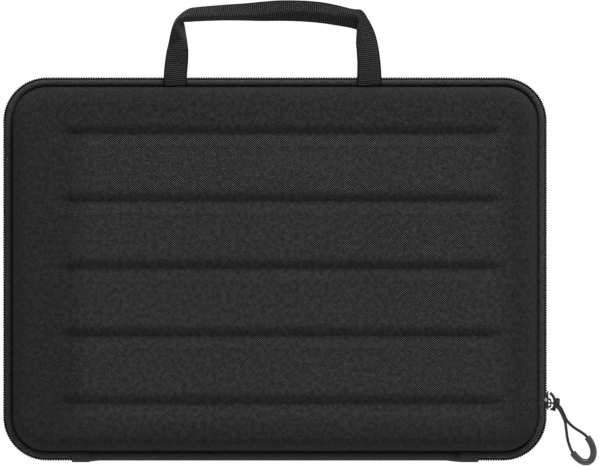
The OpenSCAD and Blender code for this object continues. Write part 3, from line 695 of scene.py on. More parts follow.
def rib_tree():
    """Raises cross ribs on webbing; the two half widths' ribs are part of a pitch apart."""
    tree, start, end = new_tree("webbing_ribs")
    tree_input(tree, "Rib pitch", "NodeSocketFloat", RIB_PITCH)
    tree_input(tree, "Rib height", "NodeSocketFloat", 0.0002)
    tree_input(tree, "Row shift", "NodeSocketFloat", 0.5)
    tree_input(tree, "Material", "NodeSocketMaterial", None)
    new, given = tree.nodes.new, start.outputs

    def attribute(name):
        node = new("GeometryNodeInputNamedAttribute")
        node.data_type = "FLOAT"
        node.inputs["Name"].default_value = name
        return node.outputs["Attribute"]

    row = maths(tree, "GREATER_THAN", attribute("across"), 0.0)
    phase = maths(tree, "DIVIDE", attribute("along"), given["Rib pitch"])
    phase = maths(tree, "ADD", phase, maths(tree, "MULTIPLY", row, given["Row shift"]))
    wave = maths(tree, "ABSOLUTE", maths(tree, "SINE", maths(tree, "MULTIPLY", phase, math.pi)))
    rib = maths(tree, "SUBTRACT", maths(tree, "POWER", wave, 0.7), 0.6)
    lift = maths(tree, "MULTIPLY", maths(tree, "MULTIPLY", rib, attribute("face")), given["Rib height"])
    scale = new("ShaderNodeVectorMath")
    normal, move, real, paint = (new(f"GeometryNode{k}") for k in
                                 ("InputNormal", "SetPosition", "RealizeInstances", "SetMaterial"))
    scale.operation = "SCALE"
    link(tree, (normal.outputs["Normal"], scale.inputs[0]), (lift, scale.inputs["Scale"]),
         (given["Geometry"], move.inputs["Geometry"]), (scale.outputs[0], move.inputs["Offset"]),
         (move.outputs["Geometry"], real.inputs["Geometry"]),
         (real.outputs["Geometry"], paint.inputs["Geometry"]),
         (given["Material"], paint.inputs["Material"]), (paint.outputs["Geometry"], end.inputs["Geometry"]))
    return tree


def webbing(name, mid, run, u, thick, tree, material, body, nodes, height=0.0003):
    """A ribbed webbing round a middle surface, with rounded selvedges; the ribs come from the rule."""
    t, n = thick / 2, len(run)
    along, across = np.gradient(mid, axis=0), np.gradient(mid, axis=1)
    normal = np.cross(along, across)
    normal /= np.linalg.norm(normal, axis=2)[:, :, None]
    x = u / u[-1]
    lift = (t * (1 - 0.1 * np.abs(x) ** 6))[None, :, None] * normal
    far, near = (across[:, k] / np.linalg.norm(across[:, k], axis=1)[:, None] for k in (-1, 0))
    selvedge = ((0.25, 0.7), (0.36, 0.0), (0.25, -0.7))
    round_far = [mid[:, -1] + far * a + normal[:, -1] * b * t for a, b in selvedge]
    round_near = [mid[:, 0] - near * a - normal[:, 0] * b * t for a, b in selvedge]
    under = (mid - lift)[:, ::-1]
    ring = np.concatenate([mid + lift, np.stack(round_far, 1), under, np.stack(round_near, 1)], 1)
    face = np.where(np.abs(x) < 0.97, 1.0, 0.3)
    face = np.concatenate([face, [0, 0, 0], face[::-1], [0, 0, 0]])
    place = np.concatenate([u, [u[-1]] * 3, u[::-1], [u[0]] * 3])
    m = ring.shape[1]
    marks = {"along": np.repeat(run, m), "across": np.tile(place, n), "face": np.tile(face, n)}
    cloth = np.column_stack([marks["along"], marks["across"]])
    made = outwards(piece(name, ring.reshape(-1, 3), loft_faces(n, m), cloth, 60))
    for key, value in marks.items():
        layer = made.data.attributes.new(key, "FLOAT", "POINT")
        layer.data.foreach_set("value", value.astype(np.float32))
    run_tree(made, tree, {"Rib pitch": RIB_PITCH, "Rib height": height, "Row shift": 0.5,
                          "Material": material})
    for key in marks:
        found = made.data.attributes.get(key)
        if found:
            made.data.attributes.remove(found)
    finish_piece(made, body, nodes, "webbing")
    return made


def make_handle(tree, material):
    """The handle: one webbing that curls over along its ridge."""
    mid, run, u = handle_surface(0.25, 22)
    return webbing("ribbed_handle", mid, run, u, WEBBING_T, tree, material, "handle", ["handle_strap"])


def make_tail(side_name, tree, material):
    """The end of the webbing, spread flat where it is sewn into the seam between rim and shell."""
    lo, hi = (np.array(corner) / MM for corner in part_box(f"handle_tail_{side_name}"))
    z = np.linspace(hi[2] - 0.25, lo[2], 24)
    u = np.linspace(-9.0, 9.0, 13)
    x, up = np.meshgrid((lo[0] + hi[0]) / 2 + u, z)
    mid = np.stack([x, np.full_like(x, (lo[1] + hi[1]) / 2), up], 2)
    return webbing(f"sewn_tail_{side_name}", mid, z[0] - z, u, 0.6, tree, material, "lid",
                   [f"handle_tail_{side_name}"], height=0.00008)


# ---- slider ----
def slider_outline():
    """The plates' outline, from the zip's middle: along the zip, and across it."""
    h, w, s = 12.7 / 2, 8.6 / 2, 9.8 / 2
    return np.array([
        (h - 1.2, w - 0.6), (h - 0.4, w - 1.6), (h, w - 2.8), (h, -w + 2.8), (h - 0.4, -w + 1.6),
        (h - 1.2, -w + 0.6), (h - 2.4, -w), (0.5, -w), (-2.6, -s), (-4.6, -s), (-h + 0.7, -s + 0.8),
        (-h, -s + 2), (-h, -0.9), (-h + 0.9, 0), (-h, 0.9), (-h, s - 2), (-h + 0.7, s - 0.8), (-4.6, s),
        (-2.6, s), (0.5, w), (h - 2.4, w)])


def plate_mesh(low, high):
    """A plate in the slider's plane between two distances in from the rim."""
    out = slider_outline()
    insets = (low, (low + high) / 2, high)
    verts = [(SLIDER_X - inset, SLIDER_Y + a, MID_Z + b) for inset in insets for a, b in out]
    return verts, loft_faces(3, len(out))


def make_slider(material):
    """Two plates with a flange along each side between them, and the post that parts the coils."""
    plate_t, gap, sunk, flange_from, flange_to = 0.9, 0.25, 0.3, 3.2, 3.27
    low, inner, lip = TOOTH_IN - gap, TAPE_FACE + TAPE_T + gap, TAPE_FACE - gap
    shapes = [plate_mesh(low - plate_t, low), plate_mesh(inner, inner + plate_t)]
    for sign in (1, -1):
        edge = sorted((a, b) for a, b in slider_outline() if b * sign > flange_from)
        n = len(edge)
        v, f = [], []
        for inset in (low - sunk, lip):
            v += [(SLIDER_X - inset, SLIDER_Y + a, MID_Z + b * 0.995) for a, b in edge]
            v += [(SLIDER_X - inset, SLIDER_Y + a, MID_Z + sign * flange_to) for a, _ in edge]
        for k in range(n - 1):
            f += [(k, k + 1, n + k + 1, n + k), (2 * n + k, 3 * n + k, 3 * n + k + 1, 2 * n + k + 1),
                  (k, 2 * n + k, 2 * n + k + 1, k + 1), (n + k, n + k + 1, 3 * n + k + 1, 3 * n + k)]
        f += [(0, n, 3 * n, 2 * n), (n - 1, 3 * n - 1, 4 * n - 1, 2 * n - 1)]
        shapes.append((v, f))
    post = [(a * 1.74, 1.03 * (1 - a * a) + 0.02) for a in np.linspace(-1, 1, 9)]
    ring = post + [(a, -b) for a, b in reversed(post)][1:-1]
    v = [(SLIDER_X - x, SLIDER_Y - 4 + a, MID_Z + b) for x in (inner + sunk, low - sunk) for a, b in ring]
    shapes.append((v, loft_faces(2, len(ring))))
    made = joined("slider_plates", shapes, 30, body="slider", stands_for=["slider_body"], slot="slider_metal",
                  material=material)
    return bevel(made, 0.22)


def make_bridge(material):
    """The crown over the outer plate: a low arch that the pull's loop runs under."""
    foot, gap, bar, half, leg, width = SLIDER_X + 0.8, 1.3, 0.95, 3.3, 1.35, 2.2

    def arch(high, reach, rise, bend):
        """Points of (x, y) from foot to foot."""
        points = []
        for a in np.linspace(0, 180, 13):
            c, s = math.cos(math.radians(a)), math.sin(math.radians(a))
            points.append((foot + high * s**rise, HANG[1] - np.clip(reach * c * abs(c) ** -bend, -reach, reach)))
        return points

    ring, hole = arch(gap + bar, half, 0.55, 0.35), arch(gap, half - leg, 0.45, 0.4)
    n = len(ring)
    v = [(x, y, MID_Z + z) for z in (-width / 2, width / 2) for x, y in ring + hole]
    f = []
    for a in range(n - 1):
        b, c, d = n + a, 2 * n + a, 3 * n + a
        f += [(a, a + 1, b + 1, b), (c, d, d + 1, c + 1), (a, c, c + 1, a + 1), (b, b + 1, d + 1, d)]
    f += [(0, n, 3 * n, 2 * n), (n - 1, 3 * n - 1, 4 * n - 1, 2 * n - 1)]
    made = joined("slider_crown", [(v, f)], 40, body="slider", stands_for=["slider_bridge"],
                  slot="slider_metal", material=material)
    return bevel(made, 0.25, 3)


def make_highlight_boss(material):
    """A small raised lozenge on the slider's front flange, over the post, in far paler zinc than the slider: a
    painted highlight.
    """
    middle, high = np.array([184.0, -88.9, MID_Z + 4.2]), 1.0
    outline = ((1, 0), (0.6, 0.62), (0, 1), (-0.6, 0.62), (-1, 0), (-0.6, -0.62), (0, -1), (0.6, -0.62))
    verts = [middle + (1.3 * scale * x, 1.5 * scale * y, lift)
             for scale, lift in ((1.0, 0.0), (1.0, high * 0.55), (0.72, high)) for x, y in outline]
    made = joined("slider_boss", [(verts, loft_faces(3, len(outline)))], 30, body="slider",
                  slot="slider_metal", material=material)
    return bevel(made, 0.12)


# ---- pull ----
def make_strand(name, points, node, material):
    """One strand of the pull: a braided cord from the knot's end into the grip."""
    path, run = spline(points, 0.5)
    v, f, uv = tube(path, CORD_D / 2, 14)
    return outwards(piece(name, v, f, uv, 50, "puller", [node], "pull_cord", material)), path, run[-1]


def make_grip(material):
    """A U of moulded plastic with square-cut ends, each with a small round edge and a bore for the cord."""
    path, _ = spline(GRIP_PATH, 0.45)
    t = np.gradient(path, axis=0)
    t /= np.linalg.norm(t, axis=1)[:, None]
    radius = GRIP_D / 2
    # the rings at each end, from the bore outwards: how far in from the end, and their radius
    inwards, size = np.array([[1.2], [0.02], [0.0], [0.12]]), [1.05, 1.1, radius - 0.3, radius - 0.04]
    line = np.vstack([path[0] + t[0] * inwards, path[1:-1], path[-1] - t[-1] * inwards[::-1]])
    radii = np.concatenate([size, np.full(len(path) - 2, radius), size[::-1]])
    way = np.vstack([[t[0]] * 4, t[1:-1], [t[-1]] * 4])
    u = np.cross(way, (0, 0, 1))
    u /= np.linalg.norm(u, axis=1)[:, None]
    v, f, uv = ring_mesh(line, radii, u, np.cross(u, way), 22, round_it=14)
    return outwards(piece("moulded_grip", v, f, uv, 50, "puller", ["puller_grip"], "grip_plastic", material))


def make_knot(material):
    """The knot, drawn up against the slider: the cord's turns, a bight that stands out, and a cut end."""
    axis = np.array([math.sqrt(0.5), -math.sqrt(0.5), 0])
    side, middle = np.array([-axis[1], axis[0], 0]), np.array([190.9, -91.3, MID_Z])
    turn = 2 * math.pi * np.linspace(0, 2.0, 30) + 0.4
    turns = (middle + axis * np.linspace(-1.1, 1.3, 30)[:, None] + side * 1.6 * np.cos(turn)[:, None]
             + np.array([0, 0, 1.5]) * np.sin(turn)[:, None])
    turns[:, 0] = np.maximum(turns[:, 0], 190.1)
    paths = [
        (turns, 0.95),
        # the two cords that run through the turns, from the loop on the slider to the strands
        ([(189.5, -90.7, 21.8), (190.0, -91.2, 21.4), (190.4, -92.2, 21.1), (191.1, -93.0, 21.0)], 0.95),
        ([(189.5, -91.6, 18.2), (190.1, -91.6, 18.6), (191.0, -91.4, 18.9), (192.1, -92.2, 19.0)], 0.95),
        # the bight to the right; its nearer leg crosses over the whole knot
        ([(190.2, -89.4, 20.2), (191.1, -88.8, 20.3), (192.3, -88.6, 20.8), (192.9, -89.2, 21.5),
          (192.3, -90.3, 22.2), (191.3, -91.6, 22.4), (190.5, -93.0, 22.1), (190.2, -94.2, 21.3)], 1.0),
        # the lower cut end
        ([(190.3, -92.4, 20.4), (190.1, -94.2, 20.6), (189.7, -96.5, 20.4)], 1.0),
    ]
    shapes = [tube(spline(points, 0.4)[0], radius, 12)[:2] for points, radius in paths]
    return joined("cord_knot", shapes, 50, body="puller", stands_for=["puller_knot"], slot="pull_cord",
                  material=material)


def make_loose_ends(material):
    """The upper cut end and the cord that comes round below the bridge."""
    paths = [
        ([(187.1, -84.3, 20.0), (188.3, -85.4, 20.3), (189.4, -87.0, 20.8), (189.9, -88.6, 21.3),
          (190.3, -90.2, 21.5)], 1.0),
        ([(187.3, -95.4, 20.0), (188.6, -95.2, 20.0), (189.8, -93.6, 19.9), (190.8, -91.6, 19.8)], 0.85),
    ]
    shapes = [tube(spline(points, 0.4)[0], radius, 12)[:2] for points, radius in paths]
    made = joined("knot_loose_ends", shapes, 50, slot="pull_cord", material=material)
    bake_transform(made)
    return made


def make_loop(material):
    """The loop that the cord makes through the slider's bridge: a bar under it and two legs to the knot."""
    x, y, half, bend = HANG[0], HANG[1], 1.8, 0.8
    leg = [(x + 3.9, y, half), (x + 2.2, y, half), (x + bend, y, half), (x + bend * 0.3, y, half - bend * 0.3),
           (x, y, half - bend)]
    points = [(a, b, -c) for a, b, c in leg] + [(x, y, 0)] + leg[::-1]
    path, _ = spline([(a, b, MID_Z + c) for a, b, c in points], 0.3)
    v, f, uv = tube(path, 0.6, 12)
    return outwards(piece("pull_loop", v, f, uv, 50, "puller", ["puller_loop"], "pull_cord", material))


# ---- stitches ----
def make_stitches(side, tree, material):
    """One row of lock stitches along the inside binding, slightly uneven as sewn."""
    half, pitch = 1.15, 3.0
    path = [(-half, 0, 0.16), (-half + 0.15, 0, -0.06), (-0.5, 0, -0.22), (0.5, 0, -0.22),
            (half - 0.15, 0, -0.06), (half, 0, 0.16)]
    v, f, _ = tube(spline(path, 0.3)[0], 0.24, 6)
    f = f if side == "lid" else [face[::-1] for face in f]
    stitch = outwards(pattern_shape(f"{side}_stitch", v * [1, 1, halves(side)], f))
    count = int(RIM_LEN / pitch)
    s = (np.arange(count) + 0.5) * RIM_LEN / count
    made = rim_row(f"{side}_binding_stitches", side, stitch, s, INNER_IN - 1.2, PART_GAP + 0.12, tree,
                   material, uneven=0.05, seed=11)
    finish_piece(made, side, [], "binding_tape")
    return made


# ---- finishes ----
class Finish:
    """A node material: the shader's even numbers are set on its own sockets, and patterns are linked in."""

    def __init__(self, name, colour, rough=0.8, metal=0.0, sheen=0.0, sheen_rough=0.5, specular=0.5):
        self.material = bpy.data.materials.new(name)
        self.material.use_nodes = True
        self.tree = self.material.node_tree
        self.shader = self.tree.nodes["Principled BSDF"]
        self.colour = colour
        values = {"Base Color": (*colour, 1), "Roughness": rough, "Metallic": metal, "Sheen Weight": sheen,
                  "Sheen Roughness": sheen_rough, "Specular IOR Level": specular}
        for key, value in values.items():
            self.shader.inputs[key].default_value = value
        self.place = self.tree.nodes.new("ShaderNodeTexCoord")
        self.cloth = None

    def maths(self, kind, *values, clamp=False):
        return maths(self.tree, kind, *values, clamp=clamp)

    def cloth_uv(self):
        """The two cloth coordinates, in millimetres, and the socket that holds both."""
        if self.cloth is None:
            source = self.tree.nodes.new("ShaderNodeUVMap")
            split = self.tree.nodes.new("ShaderNodeSeparateXYZ")
            source.uv_map = "cloth"
            self.tree.links.new(source.outputs["UV"], split.inputs[0])
            self.cloth = split.outputs[0], split.outputs[1], source.outputs["UV"]
        return self.cloth

    def noise(self, scale, detail=3.0, rough=0.55, cloth=False, stretch=None):
        node = self.tree.nodes.new("ShaderNodeTexNoise")
        node.inputs["Scale"].default_value = scale
        node.inputs["Detail"].default_value = detail
        node.inputs["Roughness"].default_value = rough
        source = self.cloth_uv()[2] if cloth else self.place.outputs["Object"]
        if stretch:
            mapping = self.tree.nodes.new("ShaderNodeMapping")
            mapping.inputs["Scale"].default_value = stretch
            self.tree.links.new(source, mapping.inputs["Vector"])
            source = mapping.outputs["Vector"]
        self.tree.links.new(source, node.inputs["Vector"])
        return node.outputs["Fac"]

    def wave(self, value, period):
        return self.maths("SINE", self.maths("MULTIPLY", value, 2 * math.pi / period))

    def spread(self, value, low, high):
        """A 0 to 1 pattern as a factor from low to high."""
        return self.maths("MULTIPLY_ADD", value, high - low, low)

    def shade(self, *factors):
        """Multiplies the colour by each factor."""
        total = factors[0]
        for f in factors[1:]:
            total = self.maths("MULTIPLY", total, f)
        node = self.tree.nodes.new("ShaderNodeVectorMath")
        node.operation = "SCALE"
        node.inputs[0].default_value = self.colour
        self.tree.links.new(total, node.inputs["Scale"])
        self.tree.links.new(node.outputs[0], self.shader.inputs["Base Color"])

    def roughness(self, value):
        self.tree.links.new(value, self.shader.inputs["Roughness"])

    def bump(self, height, depth):
        """Raises the surface by a pattern; depth is in millimetres."""
        node = self.tree.nodes.new("ShaderNodeBump")
        node.inputs["Strength"].default_value = 1.0
        node.inputs["Distance"].default_value = depth * MM
        self.tree.links.new(height, node.inputs["Height"])
        self.tree.links.new(node.outputs["Normal"], self.shader.inputs["Normal"])

    def inside(self, box, soft, outside):
        """1 inside a box of object coordinates, and fading to another value over a soft border outside it."""
        split = self.tree.nodes.new("ShaderNodeSeparateXYZ")
        self.tree.links.new(self.place.outputs["Object"], split.inputs[0])
        total = None
        for value, low, high in ((split.outputs[0], box[0], box[1]), (split.outputs[1], box[2], box[3])):
            for at, sign in ((low, 1.0), (high, -1.0)):
                edge = self.maths("MULTIPLY_ADD", value, sign / soft, 1.0 - sign * at / soft, clamp=True)
                total = edge if total is None else self.maths("MINIMUM", total, edge)
        return self.spread(self.maths("SMOOTH_MIN", total, 1.0, 0.1), outside, 1.0)

    def wear_and_highlight_edges(self, amount):
        """Convex edges a little paler: partly abrasion, partly a painted highlight where the edges catch the
        light.
        """
        geometry = self.tree.nodes.new("ShaderNodeNewGeometry")
        edge = self.maths("SUBTRACT", geometry.outputs["Pointiness"], 0.5)
        edge = self.maths("MULTIPLY", edge, 6.0, clamp=True)
        return self.spread(edge, 1.0, 1.0 + amount)


def ballistic_cloth(name, tone, period=1.613, contrast=3.0, uneven=2.6, depth=0.3, panel=None):
    """Coarse plain-woven polyester: fat yarns over and under, with painted highlights on the yarn floats and
    painted shade between them, stronger in some patches than in others.

    panel, if given, is (x low, x high, y low, y high) in metres; outside it the colour is darker: painted shade,
    as the light falling off away from the panel's middle.
    """
    cloth = Finish(name, (tone, tone, tone * 1.01), 0.8, sheen=0.02, sheen_rough=0.45, specular=0.07)
    u, v, _ = cloth.cloth_uv()
    rise, fall = cloth.maths("MULTIPLY_ADD", v, 1.065, u), cloth.maths("MULTIPLY_ADD", v, -1.065, u)
    # painted highlight and shade: the check makes the yarn floats bright and the gaps between them dark in the
    # colour
    check = cloth.maths("MULTIPLY_ADD", cloth.wave(fall, period), 0.4, cloth.wave(rise, period))
    patch = cloth.spread(cloth.noise(0.3, 2.0, cloth=True), -0.8, 2.8)
    patch = cloth.maths("MINIMUM", cloth.maths("MAXIMUM", patch, 0.5), 1.4)
    yarn = cloth.maths("MULTIPLY_ADD", check, cloth.maths("MULTIPLY", patch, contrast), 1.0)
    weft = cloth.noise(1.0, 1.5, cloth=True, stretch=(0.5, 1.5, 1))
    warp = cloth.noise(1.0, 1.5, cloth=True, stretch=(1.5, 0.5, 1))
    slub = cloth.maths("ADD", weft, cloth.maths("SUBTRACT", warp, 1.0))
    slub = cloth.maths("MAXIMUM", cloth.maths("MULTIPLY_ADD", slub, uneven, 1.0), 0.15)
    fibre = cloth.noise(4.5, 2.0, cloth=True)
    factors = [cloth.maths("MAXIMUM", yarn, 0.04), slub, cloth.spread(fibre, 0.7, 1.3),
               cloth.spread(cloth.noise(9.0, 2.0), 0.92, 1.08), cloth.wear_and_highlight_edges(0.35)]
    # painted shade: outside the panel box the cloth's colour is darkened towards the margins
    if panel:
        factors.append(cloth.inside(panel, 0.014, 0.72))
    cloth.shade(*factors)
    raised = cloth.maths("MULTIPLY_ADD", slub, 0.3, yarn)
    cloth.bump(cloth.maths("MULTIPLY_ADD", fibre, 0.35, raised), depth * 0.5)
    return cloth.material


def fine_tape(name, tone, rib=0.9, cross=0.7, contrast=0.3, depth=0.08):
    """Close-woven tape: a fine herringbone along its length."""
    tape = Finish(name, (tone, tone, tone), 0.8, sheen=0.05, sheen_rough=0.4, specular=0.1)
    u, v, _ = tape.cloth_uv()
    side = tape.maths("SIGN", tape.wave(v, 2.6))
    slant = tape.maths("MULTIPLY_ADD", tape.maths("MULTIPLY", side, v), 0.8, u)
    yarn = tape.spread(tape.maths("MULTIPLY", tape.wave(slant, rib), tape.wave(v, cross)), 0.5, 1.0)
    fibre = tape.noise(3.2, 2.0, cloth=True)
    broad = tape.noise(14.0, 2.0)
    tape.shade(tape.spread(yarn, 1 - contrast, 1 + contrast), tape.spread(fibre, 0.72, 1.28),
               tape.spread(broad, 0.9, 1.1), tape.wear_and_highlight_edges(0.5))
    tape.bump(tape.maths("MULTIPLY_ADD", fibre, 0.4, yarn), depth)
    return tape.material


def knitted_lining(name, tone):
    """Tricot lining with a short nap: small wales and a cloudy brushed tone."""
    knit = Finish(name, (tone, tone, tone * 1.03), 0.9, sheen=0.2, sheen_rough=0.35, specular=0.1)
    u, v, _ = knit.cloth_uv()
    wale = knit.maths("MULTIPLY", knit.wave(u, 1.0), knit.wave(v, 0.8))
    nap = knit.noise(1.6, 4.0, 0.65, cloth=True)
    cloud = knit.noise(16.0, 3.0)
    knit.shade(knit.spread(wale, 0.94, 1.06), knit.spread(nap, 0.6, 1.4), knit.spread(cloud, 0.85, 1.15))
    knit.bump(knit.maths("MULTIPLY_ADD", nap, 1.4, knit.spread(wale, 0.25, 0.5)), 0.12)
    return knit.material


def webbing_cloth(name, tone):
    """Webbing cloth: yarns across each rib, painted highlights on the ribs' crests with painted shade in the
    grooves between them, and painted shade along the selvedges; the mesh has the ribs.
    """
    web = Finish(name, (tone, tone, tone), 0.7, sheen=0.015, sheen_rough=0.4, specular=0.07)
    u, v, _ = web.cloth_uv()
    row = web.maths("GREATER_THAN", v, 0.0)
    phase = web.maths("MULTIPLY_ADD", row, RIB_PITCH / 2, u)
    # painted highlight and shade: the colour is bright on each rib's crest and dark in the groove between ribs,
    # in step with the mesh's ribs
    rib = web.maths("POWER", web.maths("ABSOLUTE", web.wave(phase, 2 * RIB_PITCH)), 1.8)
    yarn = web.spread(web.wave(v, 0.62), 0.5, 1.0)
    dash = web.noise(0.75, 1.0, cloth=True, stretch=(0.6, 1.0, 1))
    fibre = web.noise(3.5, 2.0, cloth=True)
    # painted shade: the colour darkens over the outer millimetre of each side, where the rounded selvedge turns
    # from the light
    selvedge = web.maths("MULTIPLY_ADD", web.maths("ABSOLUTE", v), -1.1, 8.0, clamp=True)
    web.shade(web.spread(rib, 0.06, 2.7), web.spread(yarn, 0.85, 1.15), web.spread(dash, 0.2, 1.8),
              web.spread(fibre, 0.7, 1.3), web.spread(selvedge, 0.2, 1.0),
              web.spread(web.noise(20.0), 0.9, 1.1), web.wear_and_highlight_edges(0.6))
    web.bump(web.maths("MULTIPLY_ADD", fibre, 0.5, yarn), 0.1)
    return web.material


def elastic_cloth(name, tone):
    """Flat elastic: narrow ribs across its width."""
    band = Finish(name, (tone, tone, tone), 0.75, sheen=0.05, sheen_rough=0.4, specular=0.12)
    u, v, _ = band.cloth_uv()
    rib = band.spread(band.wave(u, 1.1), 0.5, 1.0)
    rows = band.spread(band.wave(v, 1.6), 0.5, 1.0)
    fibre = band.noise(3.0, 2.0, cloth=True)
    band.shade(band.spread(rib, 0.65, 1.25), band.spread(rows, 0.85, 1.1), band.spread(fibre, 0.75, 1.25))
    band.bump(band.maths("MULTIPLY_ADD", rows, 0.5, rib), 0.18)
    return band.material


def braided_cord(name, tone):
    """A round braid: two sets of yarns that cross at a slant."""
    cord = Finish(name, (tone, tone, tone), 0.62, sheen=0.04, sheen_rough=0.4, specular=0.2)
    u, v, _ = cord.cloth_uv()
    turn = cord.maths("MULTIPLY", v, 4.0)
    run = cord.maths("DIVIDE", u, 1.9)
    left = cord.wave(cord.maths("ADD", run, turn), 1.0)
    right = cord.wave(cord.maths("SUBTRACT", run, turn), 1.0)
    braid = cord.spread(cord.maths("MULTIPLY", left, right), 0.5, 1.0)
    fibre = cord.noise(900.0, 2.0)
    cord.shade(cord.spread(braid, 0.6, 1.4), cord.spread(fibre, 0.75, 1.25), cord.wear_and_highlight_edges(0.3))
    cord.bump(cord.maths("MULTIPLY_ADD", fibre, 0.3, braid), 0.12)
    return cord.material


def moulded_plastic(name, tone, rough, grain=0.03, specular=0.5, edge_wear_and_highlight=0.4):
    """Moulded plastic with a fine spark grain, and paler edges that are partly polish and partly a painted
    highlight.
    """
    plastic = Finish(name, (tone, tone, tone * 1.02), rough, specular=specular)
    spark, cloud = plastic.noise(2600.0, 2.0), plastic.noise(120.0, 2.0)
    plastic.shade(plastic.spread(cloud, 0.88, 1.12), plastic.spread(spark, 0.9, 1.1), plastic.wear_and_highlight_edges(edge_wear_and_highlight))
    plastic.roughness(plastic.spread(cloud, rough - 0.08, rough + 0.08))
    plastic.bump(spark, grain)
    return plastic.material


def painted_zinc(name, tone):
    """Gunmetal plating on die-cast zinc: soft gloss, fine scuffs, and paler edges, partly abraded and partly a
    painted highlight.
    """
    metal = Finish(name, (tone, tone, tone * 1.02), 0.38, metal=0.85, specular=0.5)
    scuff = metal.noise(700.0, 3.0, stretch=(1, 0.15, 1))
    cloud = metal.noise(260.0, 2.0)
    metal.shade(metal.spread(cloud, 0.85, 1.15), metal.spread(scuff, 0.85, 1.15), metal.wear_and_highlight_edges(2.5))
    metal.roughness(metal.spread(scuff, 0.28, 0.5))
    metal.bump(scuff, 0.02)
    return metal.material


# ---- studio ----
def ray_is_seen(tree):
    """1 for rays that the camera, a reflection or a clear body sends."""
    path = tree.nodes.new("ShaderNodeLightPath")
    total = path.outputs["Is Camera Ray"]
    for key in ("Is Glossy Ray", "Is Transmission Ray"):
        total = maths(tree, "MAXIMUM", total, path.outputs[key])
    return total


def make_studio():
    """A white floor and world, and three area lights that look at the origin."""
    size, low = 4.0, -0.0003
    mesh = bpy.data.meshes.new("floor")
    mesh.from_pydata([(-size, -size, low), (size, -size, low), (size, size, low), (-size, size, low)], [],
                     [(0, 1, 2, 3)])
    floor = bpy.data.objects.new("floor", mesh)
    bpy.context.scene.collection.objects.link(floor)
    white = bpy.data.materials.new("white_sweep")
    white.use_nodes = True
    tree = white.node_tree
    tree.nodes.clear()
    diffuse, glow = tree.nodes.new("ShaderNodeBsdfDiffuse"), tree.nodes.new("ShaderNodeEmission")
    mix, out = tree.nodes.new("ShaderNodeMixShader"), tree.nodes.new("ShaderNodeOutputMaterial")
    diffuse.inputs["Color"].default_value = (0.92, 0.92, 0.92, 1)
    glow.inputs["Color"].default_value = (1, 1, 1, 1)
    glow.inputs["Strength"].default_value = 1.1
    share = maths(tree, "MULTIPLY", ray_is_seen(tree), 0.9)
    link(tree, (share, mix.inputs[0]), (diffuse.outputs[0], mix.inputs[1]), (glow.outputs[0], mix.inputs[2]),
         (mix.outputs[0], out.inputs["Surface"]))
    mesh.materials.append(white)

    world = bpy.data.worlds.new("studio")
    bpy.context.scene.world = world
    world.use_nodes = True
    tree = world.node_tree
    back = tree.nodes["Background"]
    back.inputs["Color"].default_value = (1, 1, 1, 1)
    strength = tree.nodes.new("ShaderNodeMapRange")
    strength.inputs["To Min"].default_value = 0.1
    strength.inputs["To Max"].default_value = 1.0
    link(tree, (ray_is_seen(tree), strength.inputs["Value"]),
         (strength.outputs["Result"], back.inputs["Strength"]))

    for name, at, size, power in [
        ("key", (0.55, 1.45, 0.85), (1.1, 0.6), 26.0),
        ("fill", (-1.15, 0.2, 1.2), (1.2, 1.2), 4.8),
        ("low_fill", (0.3, -1.35, 0.8), (1.2, 0.8), 7.6),
    ]:
        data = bpy.data.lights.new(name, "AREA")
        data.shape = "RECTANGLE"
        data.size, data.size_y = size
        data.energy = power
        lamp = bpy.data.objects.new(name, data)
        lamp.location = at
        lamp.rotation_euler = (-Vector(at)).to_track_quat("-Z", "Y").to_euler()
        bpy.context.scene.collection.objects.link(lamp)


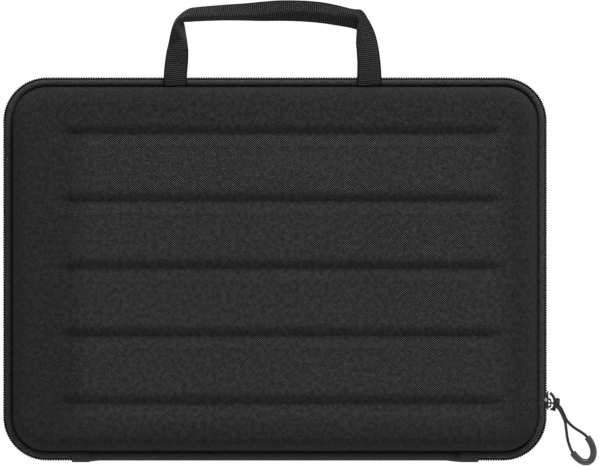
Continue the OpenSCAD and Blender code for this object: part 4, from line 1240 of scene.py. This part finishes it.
# ---- all together ----
def build():
    """The camera and the cords first, then the case's pieces, then the studio."""
    make_camera()
    cord, grip = braided_cord("pull_cord", 0.03), moulded_plastic("grip_plastic", 0.034, 0.42, edge_wear_and_highlight=0.6)
    left, left_path, left_len = make_strand("pull_strand_left", STRAND_LEFT, "puller_cord_left", cord)
    right, right_path, right_len = make_strand("pull_strand_right", STRAND_RIGHT, "puller_cord_right", cord)
    knot, loop, handgrip = make_knot(cord), make_loop(cord), make_grip(grip)
    make_loose_ends(cord)
    for strand, path, length, others in ((left, left_path, left_len, [knot, handgrip, loop]),
                                         (right, right_path, right_len, [handgrip])):
        [float(a) * MM for a in path[0]]
        [[float(a) * MM for a in p] for p in path]
        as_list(others)

    # the box outside which the shell cloth's colour gets painted shade
    panel = (-0.125, 0.148, -0.097, 0.09)
    shell = ballistic_cloth("shell_cloth", 0.033, contrast=4.0, uneven=1.0, panel=panel)
    lining, binding = knitted_lining("tricot", 0.05), fine_tape("binding_tape", 0.03)
    tape = ballistic_cloth("zip_tape", 0.05, contrast=1.2, uneven=2.0, depth=0.15)
    hinge = ballistic_cloth("hinge_cloth", 0.052, contrast=0.5, uneven=1.2, depth=0.15)
    elastic, web = elastic_cloth("elastic", 0.028), webbing_cloth("webbing", 0.0195)
    coil = moulded_plastic("coil_nylon", 0.006, 0.65, specular=0.08, edge_wear_and_highlight=0.0)
    thread, core = fine_tape("thread", 0.04, contrast=0.1), fine_tape("coil_core", 0.012, contrast=0.2)
    # painted highlight: the pale zinc goes on the small lozenge over the slider's post
    zinc, highlight_zinc = painted_zinc("slider_metal", 0.012), painted_zinc("bare_zinc", 0.2)

    rows, ribs = row_tree("set_out_along_rim"), rib_tree()
    for side in ("base", "lid"):
        make_shell(side, shell)
        make_lining(side, lining)
        make_binding(side, binding)
        make_tape(side, tape)
        make_teeth(side, rows, coil)
        make_core(side, core)
        make_stitches(side, rows, thread)
    rim_wrap("hinge_strip", -131.8, 131.8, 0.7, 0.8, 3.7, 2.6, 22, ["spine_base", "spine_lid"], hinge,
             flare=towards_tabs)
    for name, x in (("left", -138.0), ("right", 126.0)):
        rim_wrap(f"zip_end_tab_{name}", x, x + TAB_LEN, -0.35, 0.9, 3.7, 3.65, 40,
                 [f"end_tab_{name}_base", f"end_tab_{name}_lid"], hinge)
    for k, (sx, sy) in enumerate([(-1, -1), (1, -1), (1, 1), (-1, 1)], 1):
        make_band(k, sx, sy, elastic)
    make_handle(ribs, web)
    for name in ("left", "right"):
        make_tail(name, ribs, web)
    make_slider(zinc)
    make_bridge(zinc)
    make_highlight_boss(highlight_zinc)
    make_studio()


build()
